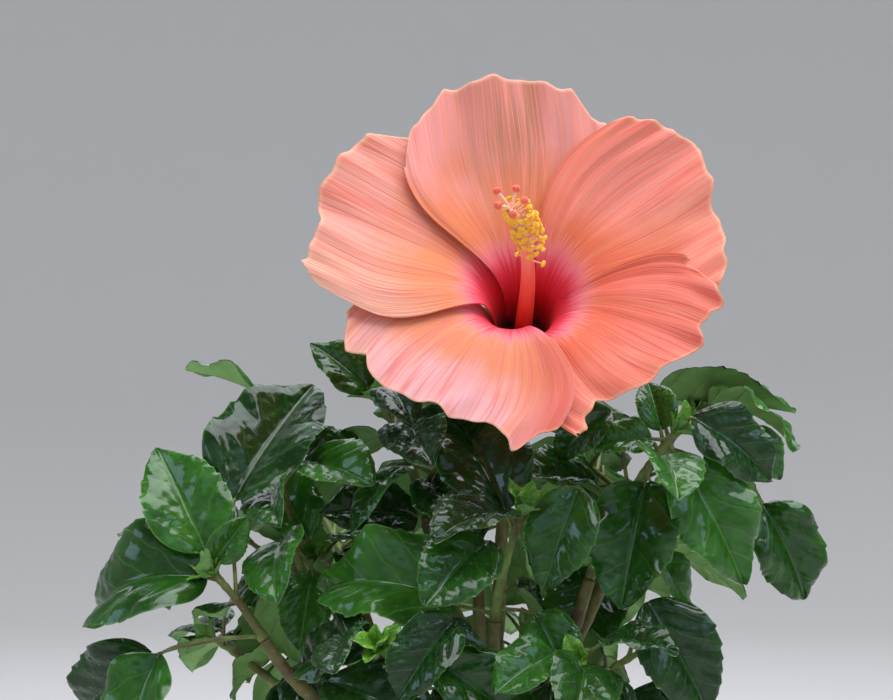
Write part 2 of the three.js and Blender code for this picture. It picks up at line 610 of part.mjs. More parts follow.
// Side twigs with leaves round their tips, then leaves up the stem
function fillShoot(name, order, curve) {
  const { leaves, twigs, turn } = SHOOTS[name];
  for (let k = 0; k < twigs; k++) {
    const share = 0.2 + (0.45 * k) / Math.max(1, twigs - 1);
    const root = curve.getPointAt(share);
    const way = aimed(turn + 180 * k + 60, 18 + 14 * chance(order, k, 8));
    const tip = along(along(root, way, 17 + 7 * chance(order, k, 9)), UP, 3);
    const line = new THREE.QuadraticBezierCurve3(root, along(root, way, 10), tip);
    const twig = limb(line, taper(TWIG.base, TWIG.tip), TWIG.sides, TWIG.steps);
    if (!isFree(twig, name)) continue;
    foliage[name].push(twig);
    placed.push({ solid: twig, shoot: name });
    for (let i = 0; i < TWIG.leaves; i++) {
      const place = line.getPointAt(0.62 + 0.15 * i);
      const keys = [order, 20 + 5 * k, i];
      const aside = turn + 180 * k + 60 + (i - 1) * 95;
      addLeaf(name, attempts((attempt) => grownLeaf(place, 0.4 + 0.2 * i, aside, 0.85, keys, attempt)));
    }
  }
  for (let i = 0; i < leaves; i++) {
    const share = 0.14 + (0.8 * (i + 0.5)) / leaves;
    const place = curve.getPointAt(share);
    const size = 1.05 - 0.45 * Math.max(0, share - 0.55);
    const keys = [order, i, 0];
    addLeaf(name, attempts((attempt) => grownLeaf(place, share, turn + GOLDEN * i, size, keys, attempt)));
  }
}

function growFoliage() {
  const curves = Object.fromEntries(Object.keys(SHOOTS).map((name) => [name, startStem(name)]));
  for (const [name, { posed = [] }] of Object.entries(SHOOTS)) {
    for (const pose of posed) {
      const place = curves[name].getPointAt(Math.min(pose.share, STEM.last));
      addLeaf(name, attempts((attempt) => posedLeaf(place, pose, attempt)));
    }
  }
  Object.keys(SHOOTS).forEach((name, order) => fillShoot(name, order, curves[name]));
}

// The whole plant
const plant = new THREE.Group();
plant.name = "hibiscus_bonsai";

function add(name, solid, material) {
  const mesh = new THREE.Mesh(geometryOf(solid), material);
  mesh.name = name;
  plant.add(mesh);
}

growLimbs();
const pot = potSolid();
const soil = soilSolid();
const pedicel = pedicelSolid();
const calyx = calyxSolid();
const column = columnSolid();
const petals = Object.entries(PETALS).map(([name, petal], order) => [name, petalSolid(petal, order)]);
const bloom = [pedicel, calyx, column, ...petals.map(([, solid]) => solid)];
for (const solid of [...Object.values(limbSolids), pot, soil, ...bloom]) placed.push({ solid });
growFoliage();

add("pot", pot, CLAY);
add("soil", soil, EARTH);
for (const [name, solid] of Object.entries(limbSolids)) {
  add(name === "trunk" ? name : `bough_${name}`, solid, BARK);
}
add("flower_stalk", pedicel, GREEN_WOOD);
add("calyx", calyx, CALYX_GREEN);
add("stamen_column", column, CORAL);
for (const [name, solid] of petals) add(`petal_${name}`, solid, PEACH);
for (const [name, pieces] of Object.entries(foliage)) {
  add(`foliage_${name}`, wasm.Manifold.union(pieces), FOLIAGE);
}

export default plant;
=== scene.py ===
import math
import bpy
import numpy as np
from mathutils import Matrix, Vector, kdtree, noise


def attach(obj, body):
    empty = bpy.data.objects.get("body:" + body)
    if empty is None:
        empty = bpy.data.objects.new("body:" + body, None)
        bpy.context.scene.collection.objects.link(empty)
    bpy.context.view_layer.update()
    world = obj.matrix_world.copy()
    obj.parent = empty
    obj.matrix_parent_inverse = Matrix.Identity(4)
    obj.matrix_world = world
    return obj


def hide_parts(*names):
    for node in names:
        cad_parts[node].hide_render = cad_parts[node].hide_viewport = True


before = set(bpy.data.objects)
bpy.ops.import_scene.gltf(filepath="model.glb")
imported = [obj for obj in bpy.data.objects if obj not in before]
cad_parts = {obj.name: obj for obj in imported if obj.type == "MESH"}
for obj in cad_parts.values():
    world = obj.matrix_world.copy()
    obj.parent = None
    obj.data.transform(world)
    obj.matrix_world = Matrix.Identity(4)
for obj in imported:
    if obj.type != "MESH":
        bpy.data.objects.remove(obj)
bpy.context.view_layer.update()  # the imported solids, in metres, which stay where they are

mm = 0.001  # everything below is worked out in millimetres
up = np.array([0.0, 0.0, 1.0])
golden = 137.5  # turn from one leaf to the next round a stem

# small sums


def vec(*parts):
    return np.array(parts, float)


def unit(v):
    return v / np.linalg.norm(v)


def lerp(a, b, share):
    return a + (b - a) * share


def smooth(x, low, high):
    t = np.clip((x - low) / (high - low), 0, 1)
    return t * t * (3 - 2 * t)


def aimed(angle, rise):  # plan angle, 0 is +X, and rise above level
    a, r = math.radians(angle), math.radians(rise)
    return vec(math.cos(a) * math.cos(r), math.sin(a) * math.cos(r), math.sin(r))


def seen(heading, near):  # heading as seen from the front, coming nearer by an angle
    h, n = math.radians(heading), math.radians(near)
    return vec(math.cos(h) * math.cos(n), -math.sin(n), math.sin(h) * math.cos(n))


def chance(*keys):  # 0 to 1, always the same for the same keys
    mixed = sum((k * (12.9898 + 65.233 * i) for i, k in enumerate(keys)), 4.137)
    spread = math.sin(mixed) * 43758.5453
    return spread - math.floor(spread)


def drawn(least, more, *keys):  # from least to least and more
    return least + more * chance(*keys)


def squareTo(direction, axis):
    return unit(direction - direction.dot(axis) * axis)


def turnedAbout(v, axis, degrees):
    a = math.radians(degrees)
    return v * math.cos(a) + np.cross(axis, v) * math.sin(a) + axis * axis.dot(v) * (1 - math.cos(a))


def ripple(x, y, z, octaves=4):  # fractal noise, about -1 to 1
    return noise.fractal(Vector((x, y, z)), 1.0, 2.1, octaves)


# lines that limbs follow


def evenly(points, count=201):  # the same line in steps of equal length
    run = np.concatenate([[0], np.cumsum(np.linalg.norm(np.diff(points, axis=0), axis=1))])
    even = np.linspace(0, run[-1], count)
    return np.stack([np.interp(even, run, points[:, i]) for i in range(3)], 1)


def bezier(*c):
    t = np.linspace(0, 1, 801)[:, None]
    if len(c) == 3:
        return evenly((1 - t) ** 2 * c[0] + 2 * (1 - t) * t * c[1] + t**2 * c[2])
    return evenly((1 - t) ** 3 * c[0] + 3 * (1 - t) ** 2 * t * c[1] + 3 * (1 - t) * t**2 * c[2] + t**3 * c[3])


def splined(points):  # centripetal spline through points
    p = [2 * points[0] - points[1], *points, 2 * points[-1] - points[-2]]
    t = np.linspace(0, 1, 200, endpoint=False)[:, None]
    runs = []
    for i in range(len(points) - 1):
        a, b, c, d = p[i:i + 4]
        da, db, dc = (np.linalg.norm(v) ** 0.5 for v in (b - a, c - b, d - c))
        m = ((b - a) / da - (c - a) / (da + db) + (c - b) / db) * db
        n = ((c - b) / db - (d - b) / (db + dc) + (d - c) / dc) * db
        runs.append(b + m * t + (3 * c - 3 * b - 2 * m - n) * t**2 + (2 * b - 2 * c + m + n) * t**3)
    return evenly(np.concatenate([*runs, [points[-1]]]))


def lengthOf(line):
    return np.linalg.norm(np.diff(line, axis=0), axis=1).sum()


def pointAt(line, share):
    x = share * (len(line) - 1)
    i = min(int(x), len(line) - 2)
    return lerp(line[i], line[i + 1], x - i)


# meshes, gathered as arrays and joined


def newPile():
    return {"verts": [], "faces": [], "maps": {}, "count": 0}


def addTo(pile, verts, faces, **maps):
    pile["verts"].append(np.asarray(verts, float).reshape(-1, 3))
    pile["faces"] += [[i + pile["count"] for i in face] for face in faces]
    pile["count"] += len(pile["verts"][-1])
    for name, uv in maps.items():
        pile["maps"].setdefault(name, []).append(np.asarray(uv, float).reshape(-1, 2))


def meshOf(pile, name):
    mesh = bpy.data.meshes.new(name)
    mesh.from_pydata((np.concatenate(pile["verts"]) * mm).tolist(), [], pile["faces"])
    corners = np.zeros(len(mesh.loops), int)
    mesh.loops.foreach_get("vertex_index", corners)
    for mapName, parts in pile["maps"].items():
        layer = mesh.uv_layers.new(name=mapName)
        layer.data.foreach_set("uv", np.concatenate(parts)[corners].astype(np.float32).ravel())
    mesh.shade_smooth()
    return mesh


def show(pile, name, material, slot, *nodes):  # a finished piece, which rides with the plant
    piece = bpy.data.objects.new(name, meshOf(pile, name))
    bpy.context.scene.collection.objects.link(piece)
    piece.data.materials.append(material)
    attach(piece, "root")
    if nodes:
        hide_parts(*nodes)
    return piece


def ringFaces(rings, sides, flip=False):  # a body of rings, closed by a point at each end
    ring = lambda i, j: 1 + i * sides + j % sides
    last = 1 + rings * sides
    faces = []
    for j in range(sides):
        faces.append([0, ring(0, j + 1), ring(0, j)])
        faces += [[ring(i, j), ring(i, j + 1), ring(i + 1, j + 1), ring(i + 1, j)] for i in range(rings - 1)]
        faces.append([ring(rings - 1, j), ring(rings - 1, j + 1), last])
    return [face[:1] + face[:0:-1] for face in faces] if flip else faces


def gridFaces(rows, columns, flip=False):
    faces = []
    for i in range(rows):
        for j in range(columns):
            a = i * (columns + 1) + j
            b = a + columns + 1
            faces.append([a, a + 1, b + 1, b] if flip else [a, b, b + 1, a + 1])
    return faces


def tube(line, radiusAt, sides, rows):  # a round limb, closed at both ends
    share = np.linspace(0, 1, rows + 1)
    spine = np.array([pointAt(line, s) for s in share])
    way = np.gradient(spine, axis=0)
    way /= np.linalg.norm(way, axis=1)[:, None]
    normal = vec(1, 0, 0) if abs(way[0][0]) < 0.8 else vec(0, 1, 0)
    turn = np.linspace(0, 2 * math.pi, sides + 1)
    verts = []
    for i in range(rows + 1):
        normal = squareTo(normal, way[i])
        across = np.cross(way[i], normal)
        radius = np.array([radiusAt(share[i], t) for t in turn])[:, None]
        verts.append(spine[i] + radius * (np.cos(turn)[:, None] * normal + np.sin(turn)[:, None] * across))
    uv = np.stack(np.meshgrid(turn / (2 * math.pi), share), -1)
    last = rows * (sides + 1)
    ends = [[last + j for j in range(sides)], list(reversed(range(sides)))]
    return np.concatenate(verts), gridFaces(rows, sides, flip=True) + ends, uv


# materials


def hexColour(code):  # sRGB hex to linear
    parts = [int(code[i:i + 2], 16) / 255 for i in (1, 3, 5)]
    return (*[p / 12.92 if p <= 0.04045 else ((p + 0.055) / 1.055) ** 2.4 for p in parts], 1.0)


def addNode(tree, kind, inputs=None, out=0, ramp=None, **settings):  # a ramp gives its two ends first
    made = tree.nodes.new("ShaderNode" + kind)
    for key, value in settings.items():
        setattr(made, key, value)
    for key, value in (inputs or {}).items():
        if isinstance(value, bpy.types.NodeSocket):
            tree.links.new(value, made.inputs[key])
        else:
            made.inputs[key].default_value = hexColour(value) if isinstance(value, str) else value
    for i, (place, code) in enumerate(ramp or ()):
        step = made.color_ramp.elements[i] if i < 2 else made.color_ramp.elements.new(place)
        step.position, step.color = place, hexColour(code)
    return made.outputs[out] if made.outputs else made


def newMaterial(name):
    material = bpy.data.materials.new(name)
    material.use_nodes = True
    material.node_tree.nodes.clear()
    return material, material.node_tree


print("helpers ready")

# pot: a plain thrown bowl with a rolled lip, 152 mm across

potForm = {
    "profile": [  # radius and height
        (0, 0), (20, 0), (45, 0), (52.6, 0), (54, 0.7), (55.2, 1.6), (56.5, 3),  # underside and foot
        (58.6, 11), (62.4, 26), (66.2, 41), (69.6, 56), (70.9, 61.6), (71.4, 62.7),  # outer wall
        (73.4, 62.6), (74.6, 63.3), (75.2, 65.5), (75.7, 69), (75.6, 70.8), (74.7, 71.8),  # rolled lip
        (73.2, 72), (71.4, 71.8), (70.4, 71), (70, 70),
        (69.2, 66), (66, 52), (62, 36), (57, 20), (53, 9.4), (50, 8.2), (30, 8), (0, 8)],  # inside and floor
    "step": 1.6, "sides": 144, "crease": 38,
    "foot": 54, "lipRadius": 70.5, "lipHeight": 61,  # what lies beyond them is the outside
    "ringHeight": 0.14, "ringSpacing": 5.2, "waver": 0.25, "inside": 0.3,  # finger rings left by throwing
    "footTop": 4, "floorTop": 9,  # no rings below these
    "holes": 4, "holeRadius": 5, "holeRing": 30, "holeSides": 40, "drill": 40,
    "clay": "#6a4433", "worn": "#8a5f48", "dark": "#3c241b",
}


def stoneware(form):
    # unglazed thrown stoneware: matt, gritty, warm brown, with darker iron specks and paler worn ridges
    material, tree = newMaterial("unglazedStoneware")
    place = addNode(tree, "TexCoord", out=3)
    cloud = addNode(tree, "TexNoise", {"Vector": place, "Scale": 1 / (28 * mm), "Detail": 4.0})
    grit = addNode(tree, "TexNoise", {  # coarser than the grit in real clay, so that it shows
        "Vector": place, "Scale": 1 / (1.1 * mm), "Detail": 3.0})
    specks = addNode(tree, "TexVoronoi", {"Vector": place, "Scale": 1 / (3.4 * mm)})
    spot = addNode(tree, "MapRange", {0: specks, 1: 0.13, 2: 0.2, 3: 1.0, 4: 0.0})
    tone = addNode(tree, "ValToRGB", {0: cloud}, ramp=[
        (0.3, form["dark"]), (0.75, form["worn"]), (0.5, form["clay"])])
    speckled = addNode(tree, "Mix", {0: spot, 6: tone, 7: form["dark"]}, out=2, data_type="RGBA")
    rough = addNode(tree, "MapRange", {0: grit, 1: 0.3, 2: 0.7, 3: 0.52, 4: 0.78})
    bump = addNode(tree, "Bump", {"Strength": 0.35, "Distance": 0.25 * mm, "Height": grit})
    shader = addNode(tree, "BsdfPrincipled", {
        "Base Color": speckled, "Roughness": rough, "IOR": 1.5, "Normal": bump})
    addNode(tree, "OutputMaterial", {"Surface": shader})
    return material


def lathe(profile, sides, wobble):
    pile = newPile()
    turn = np.linspace(0, 2 * math.pi, sides, endpoint=False)
    verts = [vec(0, 0, profile[0][1])]
    for radius, height in profile[1:-1]:
        r = np.array([radius + wobble(radius, height, t) for t in turn])
        verts += list(np.stack([r * np.cos(turn), r * np.sin(turn), np.full(sides, height)], 1))
    verts.append(vec(0, 0, profile[-1][1]))
    addTo(pile, verts, ringFaces(len(profile) - 2, sides))
    return pile


def denser(profile, step):  # the same profile with no stretch longer than step
    out = [profile[0]]
    for a, b in zip(profile, profile[1:]):
        parts = max(1, math.ceil(math.dist(a, b) / step))
        out += [tuple(lerp(np.array(a), np.array(b), (k + 1) / parts)) for k in range(parts)]
    return out


def potWobble(radius, height, turn):
    form = potForm
    outside = radius > form["foot"] and height < form["lipHeight"] or radius > form["lipRadius"]
    rings = form["ringHeight"] * math.sin(2 * math.pi * height / form["ringSpacing"] + 0.5 * math.sin(turn))
    slow = form["waver"] * ripple(1.2 * math.cos(turn), 1.2 * math.sin(turn), height / 40, 2)
    if outside and height > form["footTop"]:
        return rings + slow
    return (rings + slow) * (form["inside"] if height > form["floorTop"] else 0)


potPile = lathe(denser(potForm["profile"], potForm["step"]), potForm["sides"], potWobble)
pot = show(potPile, "stonewarePot", stoneware(potForm), "stoneware", "pot")
cutters = []
for k in range(potForm["holes"]):
    angle = math.radians(45 + 360 / potForm["holes"] * k)
    bpy.ops.mesh.primitive_cylinder_add(
        vertices=potForm["holeSides"], radius=potForm["holeRadius"] * mm, depth=potForm["drill"] * mm,
        location=(potForm["holeRing"] * math.cos(angle) * mm, potForm["holeRing"] * math.sin(angle) * mm, 0))
    cutters.append(bpy.context.object)
    cut = pot.modifiers.new(f"hole{k}", "BOOLEAN")
    cut.object, cut.operation, cut.solver = cutters[-1], "DIFFERENCE", "EXACT"
bpy.context.view_layer.update()
holed = bpy.data.meshes.new_from_object(pot.evaluated_get(bpy.context.evaluated_depsgraph_get()))
pot.modifiers.clear()
pot.data = holed
holed.set_sharp_from_angle(angle=math.radians(potForm["crease"]))
for cutter in cutters:
    bpy.data.objects.remove(cutter)
print("pot thrown,", len(holed.polygons), "faces")

# filling: moist potting mix with crumbs, bark chips and pale grit on top

soilForm = {
    "flat": 19, "shoulder": 35, "rim": 69, "crown": 66, "slope": 64.8, "level": 63,  # radii and heights
    "rings": 44, "sides": 150, "wallGap": 0.4,
    "under": [(66, 54), (56.5, 20), (51.5, 9), (40, 8.4)],  # radius and height, down along the pot's inside
    "spread": 66.5, "highest": 66.5,  # how far out and how high the crumbs lie
}
crumbForm = {  # count, half widths from and to, flatness, key of the draws; material, tones and roughness
    "barkCrumbs": (1500, 0.6, 2.6, 0.6, 51, "compostedBark", "#1d130c", "#6b4c31", 0.85),
    "pumiceGrit": (150, 0.6, 1.7, 0.8, 52, "washedPumice", "#6f675b", "#cfc6b4", 0.9),
}


def moistMix(name, dark, pale, rough):
    # moist peat, bark and pumice: crumbly and darkest in the hollows, matt on the crumbs
    material, tree = newMaterial(name)
    place = addNode(tree, "TexCoord", out=3)
    crumb = addNode(tree, "TexNoise", {
        "Vector": place, "Scale": 1 / (2.2 * mm), "Detail": 6.0, "Roughness": 0.7})
    patch = addNode(tree, "TexNoise", {"Vector": place, "Scale": 1 / (14 * mm), "Detail": 2.0})
    blend = addNode(tree, "Math", {0: crumb, 1: patch}, operation="MULTIPLY")
    tone = addNode(tree, "ValToRGB", {0: blend}, ramp=[(0.1, dark), (0.42, pale)])
    bump = addNode(tree, "Bump", {"Strength": 0.6, "Distance": 0.5 * mm, "Height": crumb})
    shader = addNode(tree, "BsdfPrincipled", {
        "Base Color": tone, "Roughness": rough, "IOR": 1.4, "Normal": bump})
    addNode(tree, "OutputMaterial", {"Surface": shader})
    return material


def soilHeight(x, y):
    radii = [soilForm[key] for key in ("flat", "shoulder", "rim")]
    mound = np.interp(math.hypot(x, y), radii, [soilForm[key] for key in ("crown", "slope", "level")])
    return mound + 0.9 * ripple(x / 11, y / 11, 0.3) + 0.35 * ripple(x / 2.4, y / 2.4, 4.1, 3)


def soilPile(form):
    pile = newPile()
    verts = [vec(0, 0, soilHeight(0, 0))]
    sides, rings = form["sides"], form["rings"]
    turns = [2 * math.pi * j / sides for j in range(sides)]
    for i in range(1, rings + 1):
        r = form["rim"] * i / rings - (form["wallGap"] if i == rings else 0)
        for turn in turns:
            x, y = r * math.cos(turn), r * math.sin(turn)
            verts.append(vec(x, y, soilHeight(x, y)))
    for r, height in form["under"]:
        verts += [vec(r * math.cos(turn), r * math.sin(turn), height) for turn in turns]
    verts.append(vec(0, 0, form["under"][-1][1]))
    addTo(pile, verts, ringFaces(rings + len(form["under"]), sides, flip=True))
    return pile


ratio = (1 + math.sqrt(5)) / 2  # each crumb is a jagged icosahedron
stoneVerts = np.array([unit(vec(*p)) for p in (
    (-1, ratio, 0), (1, ratio, 0), (-1, -ratio, 0), (1, -ratio, 0), (0, -1, ratio), (0, 1, ratio),
    (0, -1, -ratio), (0, 1, -ratio), (ratio, 0, -1), (ratio, 0, 1), (-ratio, 0, -1), (-ratio, 0, 1))])
stoneFaces = [
    (0, 11, 5), (0, 5, 1), (0, 1, 7), (0, 7, 10), (0, 10, 11), (1, 5, 9), (5, 11, 4),
    (11, 10, 2), (10, 7, 6), (7, 1, 8), (3, 9, 4), (3, 4, 2), (3, 2, 6), (3, 6, 8),
    (3, 8, 9), (4, 9, 5), (2, 4, 11), (6, 2, 10), (8, 6, 7), (9, 8, 1)]


def crumbPile(count, small, large, flat, key):
    pile = newPile()
    for i in range(count):
        r = soilForm["spread"] * math.sqrt(chance(key, i, 1))
        turn = 2 * math.pi * chance(key, i, 2)
        x, y = r * math.cos(turn), r * math.sin(turn)
        size = lerp(small, large, chance(key, i, 3) ** 2.5)
        jag = np.array([0.75 + 0.5 * chance(key, i, 10 + j) for j in range(len(stoneVerts))])[:, None]
        shape = stoneVerts * jag * size * vec(1, 0.75, flat)
        spin = 2 * math.pi * chance(key, i, 4)
        c, s = math.cos(spin), math.sin(spin)
        sx, sy, sz = shape.T
        turned = np.stack([sx * c - sy * s, sx * s + sy * c, sz], 1)
        addTo(pile, turned + vec(x, y, min(soilHeight(x, y), soilForm["highest"]) + 0.2 * size), stoneFaces)
    return pile


peat = moistMix("moistPeat", "#120c08", "#4a3626", 0.92)
show(soilPile(soilForm), "pottingMix", peat, "potting_mix", "soil")
for name, (count, small, large, flat, key, *looks) in crumbForm.items():
    piece = show(crumbPile(count, small, large, flat, key), name, moistMix(*looks), "potting_mix")
    piece.data.shade_flat()
print("soil filled")

# trunk and boughs

trunkForm = {
    "line": [vec(0, 0, 66.3), vec(-1.5, 0.5, 78.3), vec(1, 3, 96.3), vec(4, 5, 114)],
    "sunk": vec(0.2, 0, 62.5), "sides": 96, "rows": 130, "relief": 0.55,
    "base": 9.5, "tip": 5.2, "flare": 6, "flareRun": 0.11, "roots": 5, "rootSwell": 0.35,
}
boughForm = {
    "spring": 0.45, "level": 0.7, "levelRise": 0.35,  # a bough leaves flatter than it goes on
    "arrive": 0.3, "upright": 0.45,  # and arrives steeper
    "base": 3.1, "tip": 1.9, "collar": 1.5, "collarRun": 5, "sides": 22, "rows": 84, "relief": 0.16,
    "scars": 5, "scarHeight": 0.42, "scarRun": 0.9,
}
boughs = {  # parent limb and share of it, then plan angle, reach and height of the tip
    "leader": ("trunk", 0.97, 67, 30, 200),
    "left_low": ("trunk", 0.7, 190, 68, 151),
    "left_back": ("trunk", 0.88, 168, 53, 161),
    "centre_left": ("leader", 0.3, 140, 19, 190),
    "centre_front": ("trunk", 0.93, 291, 22, 158),
    "right_front": ("trunk", 0.8, 341, 41, 171),
    "right_back": ("trunk", 0.94, 17, 54, 188),
    "low_right": ("trunk", 0.55, 331, 39, 129),
    "front_low": ("trunk", 0.66, 241, 37, 130),
    "back": ("trunk", 0.84, 86, 50, 172),
    "back_right": ("back", 0.3, 44, 62, 156),
    "back_left": ("trunk", 0.76, 128, 60, 156),
    "low_back": ("trunk", 0.55, 74, 48, 124),
    "low_left": ("back_left", 0.35, 153, 68, 126),
}
limbs = {"trunk": splined(trunkForm["line"])}
leaving = {}  # the way each bough points at its tip


def growBough(name):
    parent, share, angle, reach, height = boughs[name]
    root = pointAt(limbs[parent], share)
    tip = aimed(angle, 0) * reach + up * height
    span = np.linalg.norm(tip - root)
    way = unit(tip - root)
    level = unit(vec(way[0], way[1], boughForm["levelRise"]))
    spring = root + unit(lerp(way, level, boughForm["level"])) * span * boughForm["spring"]
    arrive = tip - unit(lerp(way, up, boughForm["upright"])) * span * boughForm["arrive"]
    limbs[name] = bezier(root, spring, arrive, tip)
    leaving[name] = unit(tip - arrive)


def trunkRadius(share, turn):
    flare = trunkForm["flare"] * math.exp(-share / trunkForm["flareRun"])
    roots = 1 + trunkForm["rootSwell"] * math.cos(trunkForm["roots"] * turn)
    radius = lerp(trunkForm["base"], trunkForm["tip"], share) + flare * roots
    c, s = math.cos(turn), math.sin(turn)
    plates = ripple(3.2 * c, 3.2 * s, 5.5 * share)
    cracks = abs(ripple(5.5 * c + 9, 5.5 * s, 3.2 * share, 3))  # long shallow fissures
    rings = 0.12 * math.sin(46 * share + 2 * plates)
    return radius + trunkForm["relief"] * (0.8 * plates - 1.1 * math.exp(-14 * cracks) + rings)


def boughRadius(order, length):
    scars = [(k + 0.4 + 0.5 * chance(order, k, 31)) / boughForm["scars"] for k in range(boughForm["scars"])]

    def radiusAt(share, turn):
        radius = lerp(boughForm["base"], boughForm["tip"], share)
        collar = boughForm["collar"] * math.exp(-share * length / boughForm["collarRun"])
        c, s = math.cos(turn), math.sin(turn)
        rough = ripple(1.6 * c + order, 1.6 * s, share * length / 5)
        run = boughForm["scarRun"]
        scar = sum(math.exp(-(((share - p) * length / run) ** 2)) * (0.5 + 0.5 * math.cos(turn - 2.4 * k))
                   for k, p in enumerate(scars))
        return radius + collar + boughForm["relief"] * rough + boughForm["scarHeight"] * scar
    return radiusAt


def corkyBark():
    # young hibiscus bark: grey-brown and finely fissured low down, still olive where the boughs are young
    material, tree = newMaterial("corkyBark")
    place = addNode(tree, "TexCoord", out=3)
    height = addNode(tree, "SeparateXYZ", {0: place}, out=2)
    stretched = addNode(tree, "Mapping", {"Vector": place, "Scale": (1.0, 1.0, 0.4)})
    fibre = addNode(tree, "TexNoise", {
        "Vector": stretched, "Scale": 1 / (1.5 * mm), "Detail": 5.0, "Roughness": 0.65})
    patch = addNode(tree, "TexNoise", {"Vector": place, "Scale": 1 / (9 * mm), "Detail": 3.0})
    pores = addNode(tree, "TexVoronoi", {"Vector": place, "Scale": 1 / (2.6 * mm)})
    pore = addNode(tree, "MapRange", {0: pores, 1: 0.1, 2: 0.2, 3: 1.0, 4: 0.0})
    old = addNode(tree, "ValToRGB", {0: fibre}, ramp=[
        (0.3, "#2a2018"), (0.72, "#7d6a52"), (0.5, "#54442f")])
    young = addNode(tree, "ValToRGB", {0: patch}, ramp=[
        (0.32, "#5a4629"), (0.7, "#8b8a52"), (0.5, "#716a3d")])
    rising = addNode(tree, "MapRange", {0: height, 1: 100 * mm, 2: 165 * mm})  # young wood lies higher up
    edge = addNode(tree, "Math", {0: patch, 1: 0.5, 2: rising}, operation="MULTIPLY_ADD")
    green = addNode(tree, "MapRange", {0: edge, 1: 0.35, 2: 1.0})
    tone = addNode(tree, "Mix", {0: green, 6: old, 7: young}, out=2, data_type="RGBA")
    dotted = addNode(tree, "Mix", {0: pore, 6: tone, 7: "#8d7a5c"}, out=2, data_type="RGBA")
    rough = addNode(tree, "MapRange", {0: green, 3: 0.86, 4: 0.55})
    bump = addNode(tree, "Bump", {"Strength": 0.5, "Distance": 0.4 * mm, "Height": fibre})
    shader = addNode(tree, "BsdfPrincipled", {
        "Base Color": dotted, "Roughness": rough, "IOR": 1.45, "Normal": bump})
    addNode(tree, "OutputMaterial", {"Surface": shader})
    return material


barkPile = newPile()
trunkLine = evenly(np.concatenate([[trunkForm["sunk"]], limbs["trunk"]]))  # its foot goes down into the soil
addTo(barkPile, *tube(trunkLine, trunkRadius, trunkForm["sides"], trunkForm["rows"])[:2])
for order, name in enumerate(boughs):
    growBough(name)
    radiusAt = boughRadius(order, lengthOf(limbs[name]))
    addTo(barkPile, *tube(limbs[name], radiusAt, boughForm["sides"], boughForm["rows"])[:2])
show(barkPile, "trunkAndBoughs", corkyBark(), "bark", "trunk", *[f"bough_{n}" for n in boughs])
print("trunk and", len(boughs), "boughs grown")

# foliage, by the same rule as the solids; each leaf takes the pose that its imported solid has

stemForm = {
    "gap": 0.3, "knee": 0.4, "beyond": 0.6, "last": 0.94, "leavesFrom": 0.14, "leavesRun": 0.8,
    "base": 1.7, "tip": 0.95, "swelling": 0.3, "swellingRun": 1.1, "sides": 12, "rows": 56,
}
twigForm = {
    "first": 0.2, "spread": 0.45, "turn": 60, "rise": (18, 14), "length": (17, 7), "bow": 10, "lift": 3,
    "base": 1.1, "tip": 0.75, "sides": 10, "rows": 24,
    "leaves": 3, "leavesFrom": 0.62, "leafStep": 0.15, "leafTurn": 95, "leafSize": 0.85,
}
leafForm = {
    "length": 39, "width": 0.37, "peak": 2.68, "swell": 0.55, "taper": 0.95, "fold": 20, "curl": 45,
    "tries": 7, "within": 0.25, "stations": (0.375, 0.58333, 0.79167),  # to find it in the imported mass
    "facing": vec(0, -0.8, 0.6), "nearStep": 6,  # of leaves set one by one
    "rows": 60, "columns": 20, "underRows": 40, "underColumns": 14, "underInset": 0.995,
    "thick": 0.45, "teeth": 7, "toothDepth": 0.07, "veins": 4.4, "slant": 1.0,  # slant: how far veins run on
    "quilt": 0.026, "pucker": 0.004, "wave": 0.042, "groove": 0.35, "grooveWidth": 0.9, "blunt": 0.6,
}
ruleForm = {  # of leaves set by rule
    "rise": (5, 50), "droop": (58, 28),  # low on the shoot and at its tip
    "size": (0.82, 0.36), "stalk": (7, 9), "curl": (0.5, 1),  # the least and what chance adds
    "stray": 50, "riseStray": 20, "droopStray": 24, "roll": 40, "outwards": 0.7, "retry": 23, "shrink": 0.04,
}
